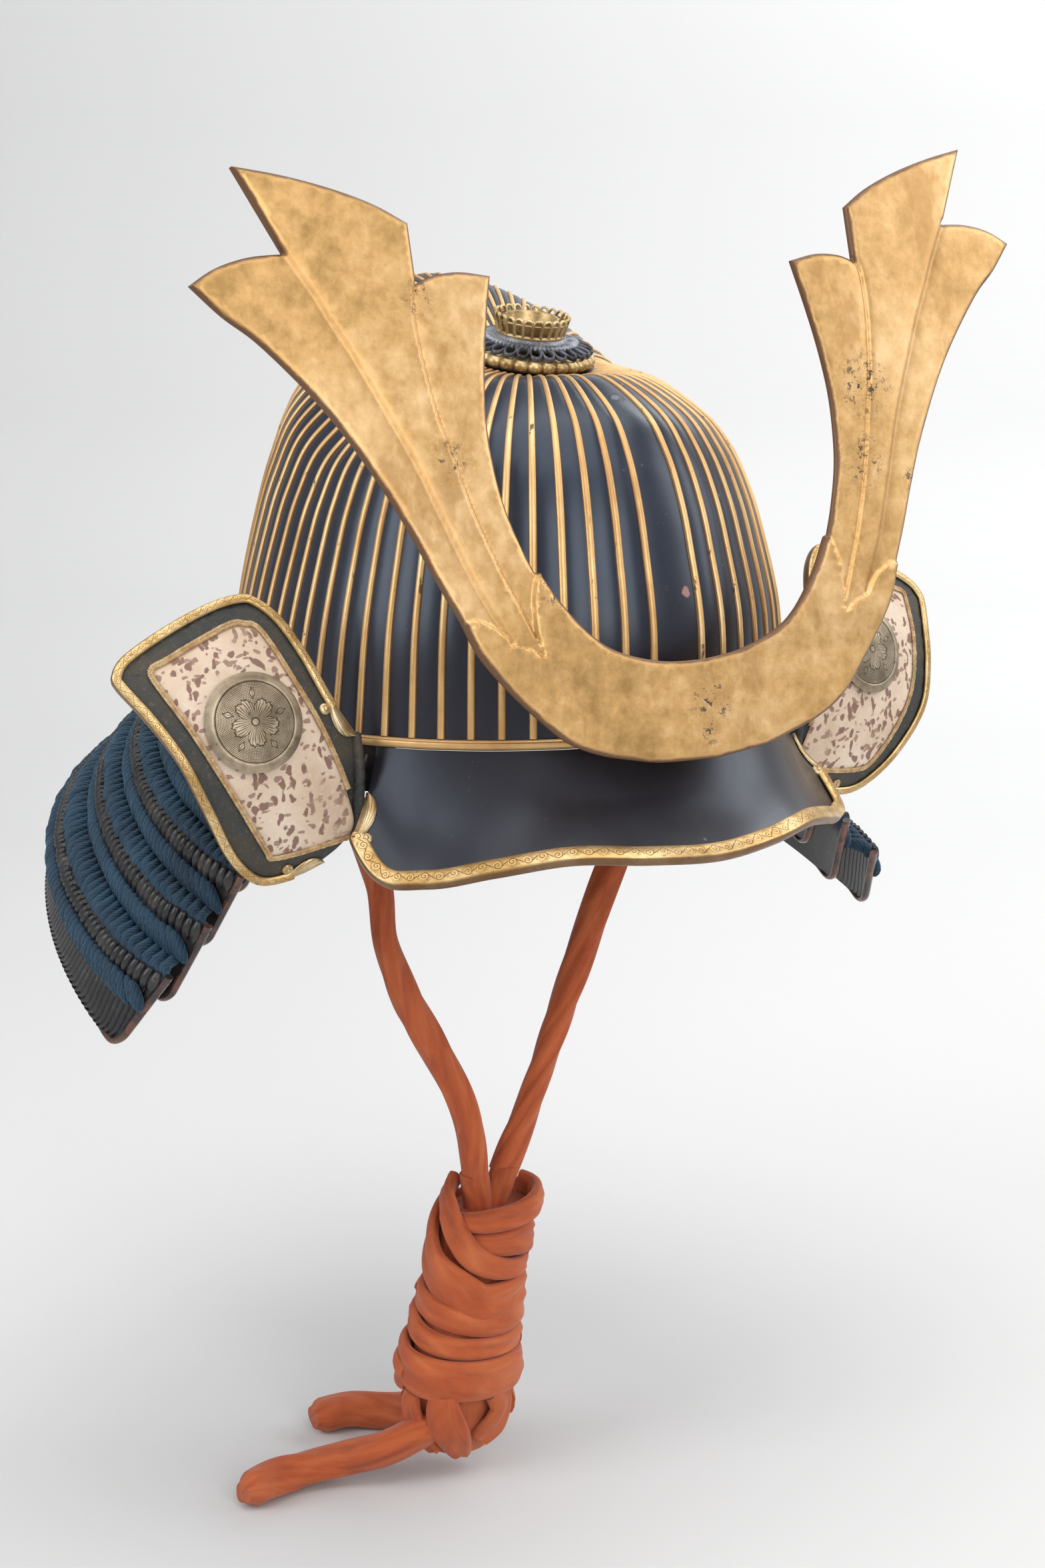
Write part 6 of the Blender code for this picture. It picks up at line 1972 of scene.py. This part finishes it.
def lacingLoops(upper, lower, seed):
    # knots that bridge from below the upper lame's lacing to behind the lower lame's top
    rng = np.random.default_rng(seed)
    shares, far = lameLength(upper, 0.6)
    start = (guard["headHeight"] + guard["laceDrop"] + 0.0012) / lameHeight(upper)
    pitch = guard["loopPitch"]
    parts = []
    for at in np.arange(pitch * 0.5, far[-1] - pitch * 0.3, pitch):
        jitter = rng.uniform(-1, 1, 6)
        centre = float(np.interp(at, far, shares))
        lean = guard["loopLean"] * np.sign(centre) / far[-1] * 2
        outward = unit(lamePoints(upper, centre, 0.7, 0.001) - lamePoints(upper, centre, 0.7, 0.0))
        first = lamePoints(upper, centre - lean, start, 0.0006)
        lip = lamePoints(lower, centre + lean, 0.05, -guard["wall"] - 0.0014)
        along, reach = np.array(guard["loopReach"]).T
        reach[2] += guard["loopDrift"] * jitter[0]
        path = smoothRows(first + (lip - first) * along[:, None] + outward * reach[:, None], 3)
        forward = unit(np.gradient(path, axis=0))
        raised = unit(outward[None] - forward * (forward @ outward)[:, None])
        share = np.linspace(0, 1, len(path))
        knob = 0.62 + 0.3 * np.sin(np.pi * share) ** 0.8 + 0.1 * np.cos(share * 16 + jitter[3])
        wide = guard["loopHalf"][0] * knob * (1 + 0.12 * jitter[1])
        high = guard["loopHalf"][1] * knob * (1 + 0.15 * jitter[2])
        ring = ovalRings(path, np.cross(forward, raised), raised, wide, high, 9)
        parts.append(tube(ring, lengthAlong(path) + rng.uniform(0, 1), np.linspace(0, 0.017, 10)))
    return parts


def makeGuard():
    scale = scaleFinish("scaleLacquer")
    ridged = scaleFinish("ridgedScaleLacquer", guard["ridge"])
    edge = edgeFinish()
    lace = laceFinish()
    lames = guard["lames"]
    for number, lame in enumerate(lames, start=1):
        last = number == len(lames)
        body = pieceOf(f"lame_{number}_body", lameBody(lame, last), ridged if last else scale, 45)
        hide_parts(f"neck_lame_{number}")

        head = guard["headHeight"] / lameHeight(lame)
        shares, far = lameLength(lame, 0.5)
        pitch = guard["headPitch"]
        heads = np.interp(np.arange(pitch * 0.7, far[-1] - pitch * 0.5, pitch), far, shares)
        parts = bundleRow(lame, heads, -0.03, head * 1.05, 40 + number, **guard["heads"])
        band = pieceOf(f"lame_{number}_heads", parts, scale)
        ends = pieceOf(f"lame_{number}_ends", lameEnds(lame), edge)

        # slanted lacing across the face below the heads, with thinner strands under it
        pitch = guard["lacePitch"]
        centres = np.interp(np.arange(pitch * 1.2, far[-1] - pitch, pitch), far, shares)
        drop = guard["laceDrop"] / lameHeight(lame)
        between = centres + 0.5 * (centres[1] - centres[0])
        parts = bundleRow(lame, centres, head, head + drop, 60 + number, **guard["lacing"])
        parts += bundleRow(
            lame, between, head + 0.15 * drop, head + 0.95 * drop, 80 + number, **guard["under"], steps=7
        )
        face = pieceOf(f"lacing_{number}_face", parts, lace)
        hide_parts(f"lacing_face_{number}")

    for number, (upper, lower) in enumerate(zip(lames, lames[1:]), start=1):
        loops = pieceOf(f"lacing_{number}_loops", lacingLoops(upper, lower, 200 + number), lace)
        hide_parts(f"lacing_hang_{number}")
    print("guard ready")


makeGuard()
